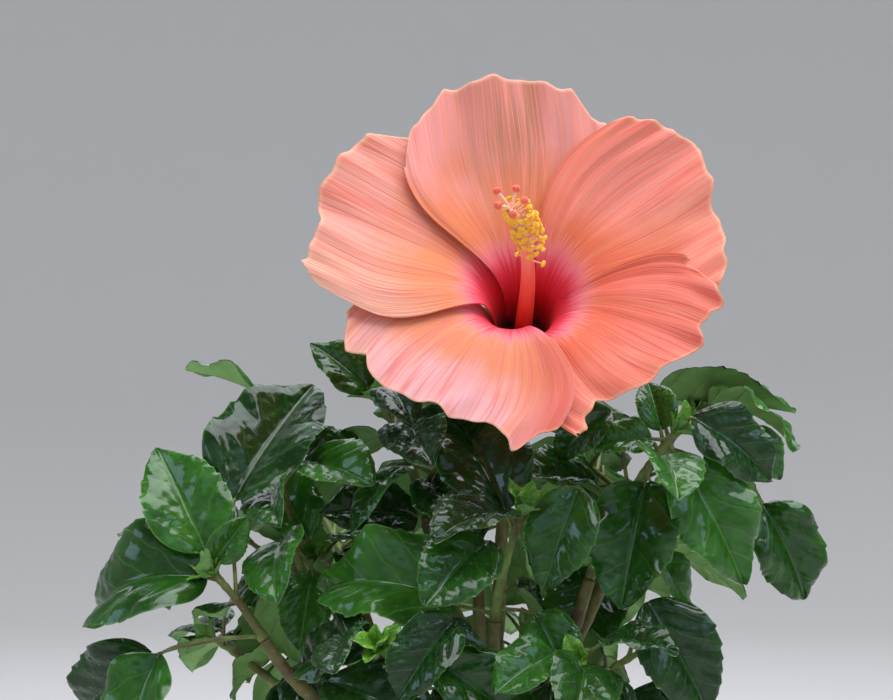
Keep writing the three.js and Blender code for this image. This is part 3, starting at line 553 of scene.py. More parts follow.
shoots = {  # where each shoot ends and its length, leaves and side twigs by rule, then leaves set one by one
    "left_low": dict(angle=194, rise=48, length=27, leaves=0, twigs=0, turn=60, tints="mffdddf", posed=[
        dict(share=0.9, heading=168, near=12, length=55, curl=110, stalk=4),
        dict(share=1, heading=115, near=-14, length=42, curl=22, stalk=9),
        dict(share=0.97, heading=52, near=24, length=18, roll=40, stalk=6, lift=100),
        dict(share=0.6, heading=62, near=-26, length=55, roll=-14, curl=18, stalk=32, lift=93),
        dict(share=0.8, heading=130, near=-36, length=54, stalk=14, lift=145),
        dict(share=0.05, heading=213, near=-14, length=41, roll=-25, stalk=37, lift=191),
        dict(share=0.05, heading=243, near=22, length=39, roll=22, stalk=34, lift=189)]),
    "left_back": dict(angle=150, rise=84, length=47, leaves=5, twigs=1, turn=100, tints="ffmfydmdd", posed=[
        dict(share=0.42, heading=117, near=-8, length=31, stalk=5, lift=30),
        dict(share=0.4, heading=257, near=34, length=27, stalk=10, lift=310),
        dict(share=0.92, heading=10, near=-8, length=23, stalk=11, lift=50),
        dict(share=1, heading=154, near=-4, length=28, roll=70, curl=20, stalk=30, lift=108),
        dict(share=1, heading=68, near=10, length=15, stalk=14)]),
    "centre_left": dict(angle=180, rise=62, length=42, leaves=6, twigs=1, turn=230, tints="mddmd", posed=[
        dict(share=1, heading=131, near=14, length=26, stalk=7),
        dict(share=0.1, heading=166, near=26, length=34, curl=35, stalk=5, lift=250),
        dict(share=0.95, heading=4, near=22, length=45, roll=-50, curl=30, stalk=9)]),
    "centre_front": dict(angle=322, rise=64, length=38, leaves=5, twigs=0, turn=40, tints="mdffdd", posed=[
        dict(share=0.92, heading=247, near=24, length=34, curl=30, stalk=22, lift=30),
        dict(share=0.8, heading=112, near=-18, length=46, stalk=8),
        dict(share=0.05, heading=147, near=22, length=50, curl=98, stalk=14, lift=165),
        dict(share=0.1, heading=303, near=26, length=27, stalk=13, lift=355)]),
    "right_front": dict(angle=354, rise=51, length=56, leaves=5, twigs=1, turn=10, tints="mfdffmdd", posed=[
        dict(share=0.76, heading=256, near=28, length=43, curl=22, stalk=6),
        dict(share=0.93, heading=303, near=22, length=43, curl=40, stalk=10),
        dict(share=1, heading=332, near=12, length=34, curl=40, stalk=11, lift=45),
        dict(share=0.97, heading=174, near=18, length=21, stalk=5),
        dict(share=0.9, heading=100, near=-12, length=20, stalk=5),
        dict(share=0.55, heading=212, near=14, length=25, stalk=28, lift=102)]),
    "right_back": dict(angle=358, rise=46, length=42, leaves=5, twigs=1, turn=120, tints="ffmmd", posed=[
        dict(share=0.75, heading=1, near=4, length=47, roll=-82, curl=15, stalk=15, lift=108),
        dict(share=1, heading=312, near=10, length=21, stalk=21, lift=355),
        dict(share=0.5, heading=303, near=8, length=38, stalk=39, lift=341)]),
    "low_right": dict(angle=347, rise=28, length=30, leaves=5, twigs=1, turn=200, tints="ddfmd", posed=[
        dict(share=0.85, heading=303, near=16, length=40, curl=30, stalk=20, lift=72),
        dict(share=0.7, heading=336, near=46, length=28, stalk=10, lift=290),
        dict(share=0.5, heading=268, near=22, length=30, stalk=25, lift=75)]),
    "front_low": dict(angle=238, rise=40, length=30, leaves=5, twigs=1, turn=75, tints="ddmd", posed=[
        dict(share=0.3, heading=346, near=34, length=42, curl=25, stalk=26, lift=171),
        dict(share=0.95, heading=225, near=24, length=31, stalk=25, lift=25)]),
    "back": dict(angle=92, rise=72, length=50, leaves=7, twigs=2, turn=20, tints="dmdf", posed=[]),
    "back_right": dict(angle=45, rise=50, length=46, leaves=8, twigs=2, turn=80, tints="mddm", posed=[]),
    "back_left": dict(angle=134, rise=48, length=42, leaves=7, twigs=2, turn=160, tints="dmmdf", posed=[]),
    "low_back": dict(angle=72, rise=22, length=36, leaves=6, twigs=1, turn=250, tints="ddm", posed=[]),
    "low_left": dict(angle=155, rise=26, length=36, leaves=6, twigs=1, turn=310, tints="dmd", posed=[]),
}
leaves, stems, twigs = [], {}, []


def leafHalfWidth(share):  # of the leaf's length
    form = leafForm
    return form["width"] * form["peak"] * share ** form["swell"] * (1 - share) ** form["taper"]


def midribAt(leaf, share):  # the place, and the way that the blade faces there
    bend = np.radians(leaf["curl"]) * share
    mean = np.maximum(bend / 2, 1e-6)
    reach = leaf["length"] * share * np.sin(mean) / mean
    place = leaf["root"] + np.multiply.outer(reach * np.cos(mean), leaf["way"])
    place = place - np.multiply.outer(reach * np.sin(mean), leaf["face"])
    out = np.multiply.outer(np.cos(bend), leaf["face"]) + np.multiply.outer(np.sin(bend), leaf["way"])
    return place, out


def isPacked(tree, leaf):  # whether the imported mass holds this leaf: its edges and tip are corners there
    stations = leafForm["stations"]
    share = np.array([*np.repeat(stations, 2), 1.0])
    side = np.array([1, -1] * len(stations) + [0])
    place, out = midribAt(leaf, share)
    half = side * leaf["length"] * leafHalfWidth(share)
    fold = math.radians(leafForm["fold"])
    place = place + np.multiply.outer(half * math.cos(fold), np.cross(leaf["face"], leaf["way"]))
    place = place + out * (abs(half) * math.sin(fold))[:, None]
    return all(tree.find(p)[2] < leafForm["within"] for p in place)


def posedLeaf(place, pose, attempt):
    near = pose["near"] + (1 if attempt % 2 else -1) * math.ceil(attempt / 2) * leafForm["nearStep"]
    way = seen(pose["heading"], near)
    face = turnedAbout(squareTo(leafForm["facing"], way), way, pose.get("roll", 0))
    root = place + seen(pose.get("lift", pose["heading"]), near / 2) * pose["stalk"]
    return dict(foot=place, root=root, way=way, face=face, length=pose["length"],
                curl=pose.get("curl", leafForm["curl"]))


def grownLeaf(place, share, turn, size, keys, attempt):
    form = ruleForm
    angle = turn + form["stray"] * (chance(*keys, 1) - 0.5)
    angle = angle + attempt * form["retry"] * (1 if attempt % 2 else -1)
    rise = lerp(*form["rise"], share) + form["riseStray"] * (chance(*keys, 2) - 0.5)
    droop = lerp(*form["droop"], share) + form["droopStray"] * (chance(*keys, 3) - 0.5)
    length = leafForm["length"] * size * drawn(*form["size"], *keys, 4) * (1 - form["shrink"] * attempt)
    root = place + aimed(angle, rise) * drawn(*form["stalk"], *keys, 5)
    way = aimed(angle, rise - droop)
    light = up + form["outwards"] * unit(vec(place[0], place[1], 0))
    face = turnedAbout(squareTo(light, way), way, form["roll"] * (chance(*keys, 6) - 0.5))
    return dict(foot=place, root=root, way=way, face=face, length=length,
                curl=leafForm["curl"] * drawn(*form["curl"], *keys, 7))


def addLeaf(name, tree, make):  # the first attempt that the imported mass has
    for attempt in range(leafForm["tries"]):
        leaf = make(attempt)
        if isPacked(tree, leaf):
            tints = shoots[name]["tints"]
            number = sum(other["shoot"] == name for other in leaves)
            leaf.update(shoot=name, tint=tints[number % len(tints)])
            leaves.append(leaf)
            return


def startStem(name):
    shoot = shoots[name]
    root = limbs[name][-1] + leaving[name] * stemForm["gap"]
    knee = root + leaving[name] * shoot["length"] * stemForm["knee"]
    tip = knee + aimed(shoot["angle"], shoot["rise"]) * shoot["length"] * stemForm["beyond"]
    stems[name] = bezier(root, knee, tip)


def fillShoot(name, order, tree):
    shoot, stem, form = shoots[name], stems[name], twigForm
    for k in range(shoot["twigs"]):
        root = pointAt(stem, form["first"] + form["spread"] * k / max(1, shoot["twigs"] - 1))
        turn = shoot["turn"] + 180 * k + form["turn"]
        way = aimed(turn, drawn(*form["rise"], order, k, 8))
        tip = root + way * drawn(*form["length"], order, k, 9) + up * form["lift"]
        line = bezier(root, root + way * form["bow"], tip)
        if tree.find(tip)[2] > 1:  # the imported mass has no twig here
            continue
        twigs.append((name, line))
        for i in range(form["leaves"]):
            place = pointAt(line, form["leavesFrom"] + form["leafStep"] * i)
            around = turn + (i - 1) * form["leafTurn"]
            keys = (order, 20 + 5 * k, i)
            addLeaf(name, tree, lambda n: grownLeaf(place, 0.4 + 0.2 * i, around, form["leafSize"], keys, n))
    for i in range(shoot["leaves"]):
        share = stemForm["leavesFrom"] + stemForm["leavesRun"] * (i + 0.5) / shoot["leaves"]
        place = pointAt(stem, share)
        size = 1.05 - 0.45 * max(0, share - 0.55)  # smaller towards the tip
        around = shoot["turn"] + golden * i
        addLeaf(name, tree, lambda n: grownLeaf(place, share, around, size, (order, i, 0), n))


packed = {}
for name in shoots:
    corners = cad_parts[f"foliage_{name}"].data.vertices
    packed[name] = kdtree.KDTree(len(corners))
    for i, corner in enumerate(corners):
        packed[name].insert(corner.co / mm, i)
    packed[name].balance()
    startStem(name)
    for pose in shoots[name]["posed"]:
        place = pointAt(stems[name], min(pose["share"], stemForm["last"]))
        addLeaf(name, packed[name], lambda n: posedLeaf(place, pose, n))
for order, name in enumerate(shoots):
    fillShoot(name, order, packed[name])
print(len(leaves), "leaves and", len(twigs), "side twigs found in the packed masses")

# the blade in full: toothed, quilted between its veins, waved at the margin


def bladeSurface(leaf, share, side, rise):
    n, length, form = leaf["number"], leaf["length"], leafForm
    outer, right = abs(side), side > 0
    place, out = midribAt(leaf, share)
    roundest = form["width"] * 2.33 * share**0.6 * (1 - share) ** 0.62  # the bluntest that a leaf gets
    width = lerp(leafHalfWidth(share), roundest, form["blunt"] * chance(n, 2))
    uneven = 0.45 * np.sin(8 * share + n + 2 * right)
    saw = (share * form["teeth"] / 0.72 + uneven + chance(n, 3)) % 1.0
    tooth = form["toothDepth"] * (saw**1.6 - 0.4) * smooth(share, 0.3, 0.48)
    tooth = tooth * (1 - smooth(share, 0.93, 0.99))  # none by the stalk or at the tip
    half = side * width * (1 + tooth * smooth(outer, 0.75, 1.0))
    across = abs(half)
    vein = (share - form["slant"] * across) * form["veins"] + 0.5 * right
    pillow = 1 - (2 * (vein % 1.0) - 1) ** 2  # highest half way from vein to vein
    pillow = pillow * smooth(outer, 0.04, 0.3) * (1 - smooth(outer, 0.75, 1.0)) * smooth(share, 0.02, 0.15)
    fold = math.radians(form["fold"])
    steepness = 1.4 - drawn(0.4, 0.5, n, 7) * side**2
    lift = across * math.sin(fold) * drawn(0.75, 0.5, n, 6) * steepness
    lift = lift + form["quilt"] * (0.5 + chance(n, 10)) * pillow * (1 - share * 0.4)
    puckers = np.sin(55 * share + 4 * np.sin(9 * half + n)) * np.sin(50 * half + 3 * np.sin(12 * share + n))
    lift = lift + form["pucker"] * puckers * smooth(outer, 0.05, 0.3)
    turns = drawn(1.5, 1.3, n, 9) * share + chance(n, 4) + 0.35 * right
    lift = lift + form["wave"] * (0.4 + chance(n, 8)) * side**2 * np.sin(2 * math.pi * turns)
    groove = form["groove"] / length * np.exp(-((half * length / form["grooveWidth"]) ** 2))
    lift = lift - groove * (1 - share)
    twist = np.radians(24 * (chance(n, 5) - 0.5)) * share
    sideways = np.cross(leaf["face"], leaf["way"])
    flat = half * length * math.cos(fold)
    lift = lift * length + rise
    return (place + np.multiply.outer(flat * np.cos(twist) - lift * np.sin(twist), sideways)
            + out * (flat * np.sin(twist) + lift * np.cos(twist))[..., None])


def addBlade(pile, leaf, rows, columns, rise, flip, inset=1.0):
    shares, sides = np.linspace(0.004, 0.994, rows + 1), np.linspace(-1, 1, columns + 1)
    share, side = np.meshgrid(shares, sides, indexing="ij")
    uv = np.stack([0.5 + 0.5 * side, share], -1)
    rise = rise * (1 - 0.5 * smooth(abs(side), 0.85, 1))  # both sides close up towards the rim
    addTo(pile, bladeSurface(leaf, share, side * inset, rise), gridFaces(rows, columns, flip), OFBake=uv)


def waxyLeaf(name, dark, pale, vein, gloss, crinkle):
    # hibiscus leaf, upper side: a waxy cuticle over dark green, so highlights are white and crisp; veins sunk
    material, tree = newMaterial(name)
    split = addNode(tree, "SeparateXYZ", {0: addNode(tree, "UVMap", uv_map="OFBake")}).node
    across, share = split.outputs[0], split.outputs[1]
    side = addNode(tree, "Math", {0: across, 1: 2.0, 2: -1.0}, operation="MULTIPLY_ADD")
    edge = addNode(tree, "Math", {0: side}, operation="ABSOLUTE")
    swell = addNode(tree, "Math", {0: share, 1: leafForm["swell"]}, operation="POWER")
    rest = addNode(tree, "Math", {0: 1.0, 1: share}, operation="SUBTRACT")
    shrink = addNode(tree, "Math", {0: rest, 1: leafForm["taper"]}, operation="POWER")
    outline = addNode(tree, "Math", {0: swell, 1: shrink}, operation="MULTIPLY")
    peak = leafForm["width"] * leafForm["peak"]
    widest = addNode(tree, "Math", {0: outline, 1: peak}, operation="MULTIPLY")
    half = addNode(tree, "Math", {0: widest, 1: edge}, operation="MULTIPLY")
    signed = addNode(tree, "Math", {0: widest, 1: side}, operation="MULTIPLY")
    flat = addNode(tree, "CombineXYZ", {0: signed, 1: share})  # the blade laid flat, in leaf lengths
    long = leafForm["length"]  # in mm, so long / 9 is a pattern of 9 mm on a usual leaf
    slanted = addNode(tree, "Math", {0: half, 1: -leafForm["slant"], 2: share}, operation="MULTIPLY_ADD")
    right = addNode(tree, "Math", {0: across, 1: 0.5}, operation="GREATER_THAN")
    offset = addNode(tree, "Math", {0: right, 1: 0.5}, operation="MULTIPLY")
    mottle = addNode(tree, "TexNoise", {"Vector": flat, "Scale": long / 9, "Detail": 3.0})
    strayed = addNode(tree, "Math", {0: mottle, 1: 0.7, 2: offset}, operation="MULTIPLY_ADD")
    along = addNode(tree, "Math", {0: slanted, 1: leafForm["veins"], 2: strayed}, operation="MULTIPLY_ADD")
    apart = addNode(tree, "Math", {0: along, 1: 0.5}, operation="PINGPONG")
    veins = addNode(tree, "MapRange", {0: apart, 1: 0.01, 2: 0.06, 3: 1.0, 4: 0.0},
                    interpolation_type="SMOOTHSTEP")
    rib = addNode(tree, "MapRange", {0: half, 1: 0.004, 2: 0.017, 3: 1.0, 4: 0.0},
                  interpolation_type="SMOOTHSTEP")
    rim = addNode(tree, "MapRange", {0: edge, 1: 0.95, 2: 0.985}, interpolation_type="SMOOTHSTEP")
    cells = addNode(tree, "TexVoronoi", {"Vector": flat, "Scale": long / 2.4, "Smoothness": 0.8},
                    feature="SMOOTH_F1", voronoi_dimensions="2D")
    fine = addNode(tree, "TexNoise", {"Vector": flat, "Scale": long / 0.9, "Detail": 2.0})
    clouds = addNode(tree, "MapRange", {0: mottle, 1: 0.35, 2: 0.68})
    green = addNode(tree, "Mix", {0: clouds, 6: dark, 7: pale}, out=2, data_type="RGBA")
    for line, depth in ((veins, 0.2), (rib, 0.24), (rim, 0.42)):  # paler along all three
        strength = addNode(tree, "Math", {0: line, 1: depth}, operation="MULTIPLY")
        green = addNode(tree, "Mix", {0: strength, 6: green, 7: vein}, out=2, data_type="RGBA")
    rough = addNode(tree, "MapRange", {0: mottle, 1: 0.3, 2: 0.7, 3: gloss, 4: gloss + 0.1})
    relief = 1.0
    for field, height in ((veins, -0.4), (rib, -0.9), (cells, -1.3), (fine, 0.1)):  # sunk lines, domed cells
        relief = addNode(tree, "Math", {0: field, 1: height, 2: relief}, operation="MULTIPLY_ADD")
    bump = addNode(tree, "Bump", {"Strength": 0.8, "Distance": crinkle * mm, "Height": relief})
    shader = addNode(tree, "BsdfPrincipled", {
        "Base Color": green, "Roughness": rough, "IOR": 1.45, "Specular IOR Level": 0.1,
        "Coat Weight": 0.65, "Coat Roughness": 0.11, "Normal": bump})
    addNode(tree, "OutputMaterial", {"Surface": shader})
    return material


def mattUnderside(name, dark, pale):
    # hibiscus leaf, under side: no wax, so matt, with the veins standing out; paler partly by its own colour
    # and partly by painted light that stands in for light shining through the leaf
    material, tree = newMaterial(name)
    blade = addNode(tree, "UVMap", uv_map="OFBake")
    split = addNode(tree, "SeparateXYZ", {0: blade}).node
    across, share = split.outputs[0], split.outputs[1]
    side = addNode(tree, "Math", {0: across, 1: 2.0, 2: -1.0}, operation="MULTIPLY_ADD")
    edge = addNode(tree, "Math", {0: side}, operation="ABSOLUTE")
    slanted = addNode(tree, "Math", {0: edge, 1: -0.25, 2: share}, operation="MULTIPLY_ADD")
    along = addNode(tree, "Math", {0: slanted, 1: leafForm["veins"]}, operation="MULTIPLY")
    apart = addNode(tree, "Math", {0: along, 1: 0.5}, operation="PINGPONG")
    veins = addNode(tree, "MapRange", {0: apart, 1: 0.02, 2: 0.1, 3: 1.0, 4: 0.0},
                    interpolation_type="SMOOTHSTEP")
    rib = addNode(tree, "MapRange", {0: edge, 1: 0.015, 2: 0.06, 3: 1.0, 4: 0.0},
                  interpolation_type="SMOOTHSTEP")
    lines = addNode(tree, "Math", {0: veins, 1: rib}, operation="MAXIMUM")
    mottle = addNode(tree, "TexNoise", {"Vector": blade, "Scale": 9.0, "Detail": 4.0})  # 4 mm patches
    green = addNode(tree, "Mix", {0: mottle, 6: dark, 7: pale}, out=2, data_type="RGBA")
    thin = addNode(tree, "Math", {0: lines, 1: 0.3}, operation="MULTIPLY")
    veined = addNode(tree, "Mix", {0: thin, 6: green, 7: "#8fa66a"}, out=2, data_type="RGBA")
    bump = addNode(tree, "Bump", {"Strength": 0.5, "Distance": 0.35 * mm, "Height": lines})
    rough = addNode(tree, "MapRange", {0: mottle, 1: 0.3, 2: 0.7, 3: 0.5, 4: 0.66})
    shader = addNode(tree, "BsdfPrincipled", {
        "Base Color": veined, "Roughness": rough, "IOR": 1.42, "Normal": bump})
    addNode(tree, "OutputMaterial", {"Surface": shader})
    return material


def greenSkin():
    # smooth green shoot: soft skin with a low sheen, browner patches and pale lenticels
    material, tree = newMaterial("greenShootSkin")
    place = addNode(tree, "TexCoord", out=3)
    patch = addNode(tree, "TexNoise", {"Vector": place, "Scale": 1 / (7 * mm), "Detail": 3.0})
    fine = addNode(tree, "TexNoise", {"Vector": place, "Scale": 1 / (0.8 * mm), "Detail": 3.0})
    dots = addNode(tree, "TexVoronoi", {"Vector": place, "Scale": 1 / (2 * mm)})
    dot = addNode(tree, "MapRange", {0: dots, 1: 0.12, 2: 0.22, 3: 0.6, 4: 0.0})
    tone = addNode(tree, "ValToRGB", {0: patch}, ramp=[(0.3, "#5d5129"), (0.7, "#7d9448"), (0.48, "#666a35")])
    dotted = addNode(tree, "Mix", {0: dot, 6: tone, 7: "#93a05f"}, out=2, data_type="RGBA")
    rough = addNode(tree, "MapRange", {0: fine, 1: 0.3, 2: 0.7, 3: 0.38, 4: 0.6})
    bump = addNode(tree, "Bump", {"Strength": 0.3, "Distance": 0.15 * mm, "Height": fine})
    shader = addNode(tree, "BsdfPrincipled", {
        "Base Color": dotted, "Roughness": rough, "IOR": 1.43, "Normal": bump})
    addNode(tree, "OutputMaterial", {"Surface": shader})
    return material


stalkForm = {
    "arch": 0.06, "rise": 0.45, "settle": 0.125, "inBlade": 1.6, "sides": 8, "rows": 12,
    "base": 0.72, "taper": 0.22, "cushion": 0.35, "cushionRun": 1.2,
}
budForm = {
    "leaflets": 6, "short": 7, "long": 14, "onTwig": 0.75, "sunk": 0.4, "curl": 20, "lean": 12, "leanStep": 9,
    "thick": 0.2, "rows": 22, "columns": 8, "underRows": 12, "underColumns": 6, "underInset": 0.99,
}
tintForm = {  # by letter: name, shaded and lit green, vein green, roughness, depth of the crinkles in mm
    "d": ("leafDeep", "#102e09", "#1a4410", "#4c7a35", 0.22, 0.8),
    "m": ("leafMid", "#183f0c", "#285a15", "#5d8f3d", 0.24, 0.6),
    "f": ("leafFresh", "#225310", "#38711d", "#6f9f4a", 0.26, 0.42),
    "y": ("leafYoung", "#4f8a20", "#7cb034", "#abcf63", 0.3, 0.3),
}
masses = [f"foliage_{name}" for name in shoots]
bladePiles = {tint: newPile() for tint in tintForm}
underPile, woodPile = newPile(), newPile()


def addBothSides(tint, leaf, form):
    half = form["thick"] / 2
    addBlade(bladePiles[tint], leaf, form["rows"], form["columns"], half, False)
    addBlade(underPile, leaf, form["underRows"], form["underColumns"], -half, True, form["underInset"])


def addStalk(leaf):  # arched a little, thicker where it leaves the stem
    foot, root, form = leaf["foot"], leaf["root"], stalkForm
    span = np.linalg.norm(root - foot)
    arched = lerp(foot, root, form["rise"]) + up * form["arch"] * span
    settled = root - leaf["way"] * form["settle"] * span
    line = bezier(foot, arched, settled, root + leaf["way"] * form["inBlade"])

    def stalkRadius(share, turn):
        cushion = form["cushion"] * math.exp(-share * span / form["cushionRun"])
        return form["base"] - form["taper"] * share + cushion
    addTo(woodPile, *tube(line, stalkRadius, form["sides"], form["rows"])[:2])


def addStem(name):  # with a swelling at each leaf
    line, form = stems[name], stemForm
    feet = [leaf["foot"] for leaf in leaves if leaf["shoot"] == name]
    marks = [float(np.argmin(np.linalg.norm(line - foot, axis=1))) / (len(line) - 1) for foot in feet]
    span = lengthOf(line)

    def stemRadius(share, turn):
        node = sum(math.exp(-(((share - m) * span / form["swellingRun"]) ** 2)) for m in marks)
        return lerp(form["base"], form["tip"], share) + form["swelling"] * min(node, 1.2)
    addTo(woodPile, *tube(line, stemRadius, form["sides"], form["rows"])[:2])


def addBud(k, line):  # folded leaflets round the tip of a stem or twig
    form = budForm
    way = unit(line[-1] - line[-4])
    side = squareTo(vec(0.3, 0.2, 1) if abs(way[2]) < 0.9 else vec(1, 0, 0), way)
    for i in range(form["leaflets"]):
        around = turnedAbout(side, way, golden * i)
        lean = math.radians(form["lean"] + form["leanStep"] * i)
        aim = unit(way * math.cos(lean) + around * math.sin(lean))
        size = 1 if k < len(shoots) else form["onTwig"]
        length = lerp(form["short"], form["long"], chance(k, i, 61)) * size
        leaflet = dict(root=line[-1] - way * form["sunk"], way=aim, face=squareTo(way - around * 0.6, aim),
                       curl=form["curl"], number=300 + 7 * k + i, length=length)
        addBothSides("y", leaflet, form)


for n, leaf in enumerate(leaves):
    leaf["number"] = n + 1
    addBothSides(leaf["tint"], leaf, leafForm)
    addStalk(leaf)
for name in shoots:
    addStem(name)
for name, line in twigs:
    radiusAt = lambda s, t: lerp(twigForm["base"], twigForm["tip"], s)
    addTo(woodPile, *tube(line, radiusAt, twigForm["sides"], twigForm["rows"])[:2])
for k, line in enumerate([*stems.values(), *(line for name, line in twigs)]):
    addBud(k, line)
for tint, (name, *looks) in tintForm.items():
    material = waxyLeaf("waxy" + name[0].upper() + name[1:], *looks)
    piece = show(bladePiles[tint], name, material, "leaf", *masses)
    print(name, len(piece.data.polygons) * 2, "triangles")
# both greens are brighter than the underside's own colour: painted light for light shining through the leaf
show(underPile, "leafUndersides", mattUnderside("mattLeafUndersidePaintedGlow", "#78a858", "#9ac678"), "leaf", *masses)
show(woodPile, "stemsTwigsStalks", greenSkin(), "leaf", *masses)
print("foliage grown")

# flower: five petals round a bowl that looks 40 degrees up

flowerForm = {"seat": vec(17, 0, 246), "look": 40, "throat": 6.4, "rootLean": 13, "rimLean": 83, "nod": 15}
petalForm = {
    "length": 87, "stretch": 0.04, "claw": 2.3, "widest": 0.72, "early": 0.08, "full": 0.8, "thick": 0.5,
    "steps": 24, "columns": 130, "rows": 80,
    "overlap": 2.6, "ruffle": 1.1, "creases": 7, "crease": 0.45, "pleat": 0.05, "frill": 0.8,
}
petals = {
    # turn: degrees clockwise from the top; gaps: degrees to the neighbours in front and behind
    # front, behind: half widths in mm; late: share at which the front edge starts to spread
    # colours: ground near the eye, ground farther out, painted shade and light, veins; for the patch of
    # painted shade and light, and for the red flush that carries painted shade along folds and edges: ray,
    # width and depth
    # eye: how far the red spreads beyond the usual; points: place, width and height of small tips
    # margin: how far it stands out or in, from behind to front
    "top": dict(
        turn=-6, gaps=(59, 66), front=38, behind=38, late=0.08,
        colours=("#e67c46", "#f7a09a", "#985e44", "#ee8a72"),
        dusk=(0.48, 0.17, 1.0), flushAndFoldShade=(0.8, 0.1, 0.1), eye=-0.01,
        points=[(0.33, 0.05, 0.014), (0.02, 0.05, 0.01)],
        margin=[0, 0, 0, -0.04, 0.015, 0.005, 0.015, 0.015, 0.008, 0.013, 0, -0.018, -0.015, -0.06, 0.03]),
    "upper_right": dict(
        turn=60, gaps=(66, 58), front=34, behind=40, late=0.08,
        colours=("#e97448", "#fa9078", "#b8726a", "#ee6a58"),
        dusk=(0.64, 0.18, 0.7), flushAndFoldShade=(0.92, 0.12, 0.4), eye=0,
        points=[(0.13, 0.05, 0.014), (-0.07, 0.04, 0.015)],
        margin=[0.05, 0.04, 0, -0.02, -0.035, -0.048, -0.055, -0.013,
                0.015, 0.022, 0.03, 0.03, 0.042, 0.06, 0.06]),
    "lower_right": dict(
        turn=118, gaps=(58, 95), front=29, behind=50, late=0.24,
        colours=("#ee6642", "#f07e6a", "#f0a084", "#dc5348"),
        dusk=(0.3, 0.16, 0.5), flushAndFoldShade=(0.62, 0.13, 0.35), eye=0.025,
        points=[(0.45, 0.05, 0.018), (0.05, 0.05, 0.02), (0.82, 0.05, 0.03)],
        margin=[0.15, 0.02, -0.05, -0.143, -0.225, -0.183, -0.18, -0.117,
                -0.138, -0.1, -0.06, -0.062, -0.13, -0.1, 0.03]),
    "bottom": dict(
        turn=213, gaps=(95, 82), front=44, behind=44, late=0.14,
        colours=("#ee8e5e", "#f3b1b0", "#ee9a6c", "#ea7468"),
        dusk=(0.08, 0.18, 0.8), flushAndFoldShade=(0.88, 0.11, 1.0), eye=0.045,
        points=[(0.53, 0.06, 0.04), (0.12, 0.04, 0.02), (-0.55, 0.05, 0.015)],
        margin=[0.1, -0.015, -0.04, -0.05, -0.12, -0.1, -0.128, -0.178,
                -0.165, -0.168, -0.1, -0.033, -0.04, 0.015, 0.09]),
    "left": dict(
        turn=295, gaps=(82, 59), front=39, behind=39, late=0.08,
        colours=("#eb8850", "#ea9a88", "#f8bca4", "#e2705c"),
        dusk=(0.9, 0.2, 0.9), flushAndFoldShade=(0.05, 0.1, 0.15), eye=0.02,
        points=[(-0.41, 0.06, 0.035), (0.04, 0.04, 0.02), (0.57, 0.06, 0.015)],
        margin=[0, 0, 0, -0.035, 0, 0.025, 0.015, 0.008, -0.023, -0.025, 0.005, 0.05, 0.055, -0.09, -0.13]),
}
look = math.radians(flowerForm["look"])
axis = vec(0, -math.cos(look), math.sin(look))
risen, rightward = vec(0, math.sin(look), math.cos(look)), vec(1, 0, 0)  # up and right, facing the flower
seat = flowerForm["seat"]


def outward(turn):
    return np.multiply.outer(np.cos(turn), risen) + np.multiply.outer(np.sin(turn), rightward)


def wallLean(share, turn):
    rim = flowerForm["rimLean"] - flowerForm["nod"] * np.cos(turn)
    return np.radians(lerp(flowerForm["rootLean"], rim, smooth(share, 0.12, 0.62)))


def bowlAt(share, turn):  # radius and height on the flower's axis, summed in small steps
    radius, height = flowerForm["throat"] + 0 * share, 0.3 + 0 * share
    steps = petalForm["steps"]
    step = share * petalForm["length"] * (1 + petalForm["stretch"] * np.cos(turn)) / steps
    for i in range(steps):
        lean = wallLean(share * (i + 0.5) / steps, turn)
        radius, height = radius + step * np.sin(lean), height + step * np.cos(lean)
    return radius, height


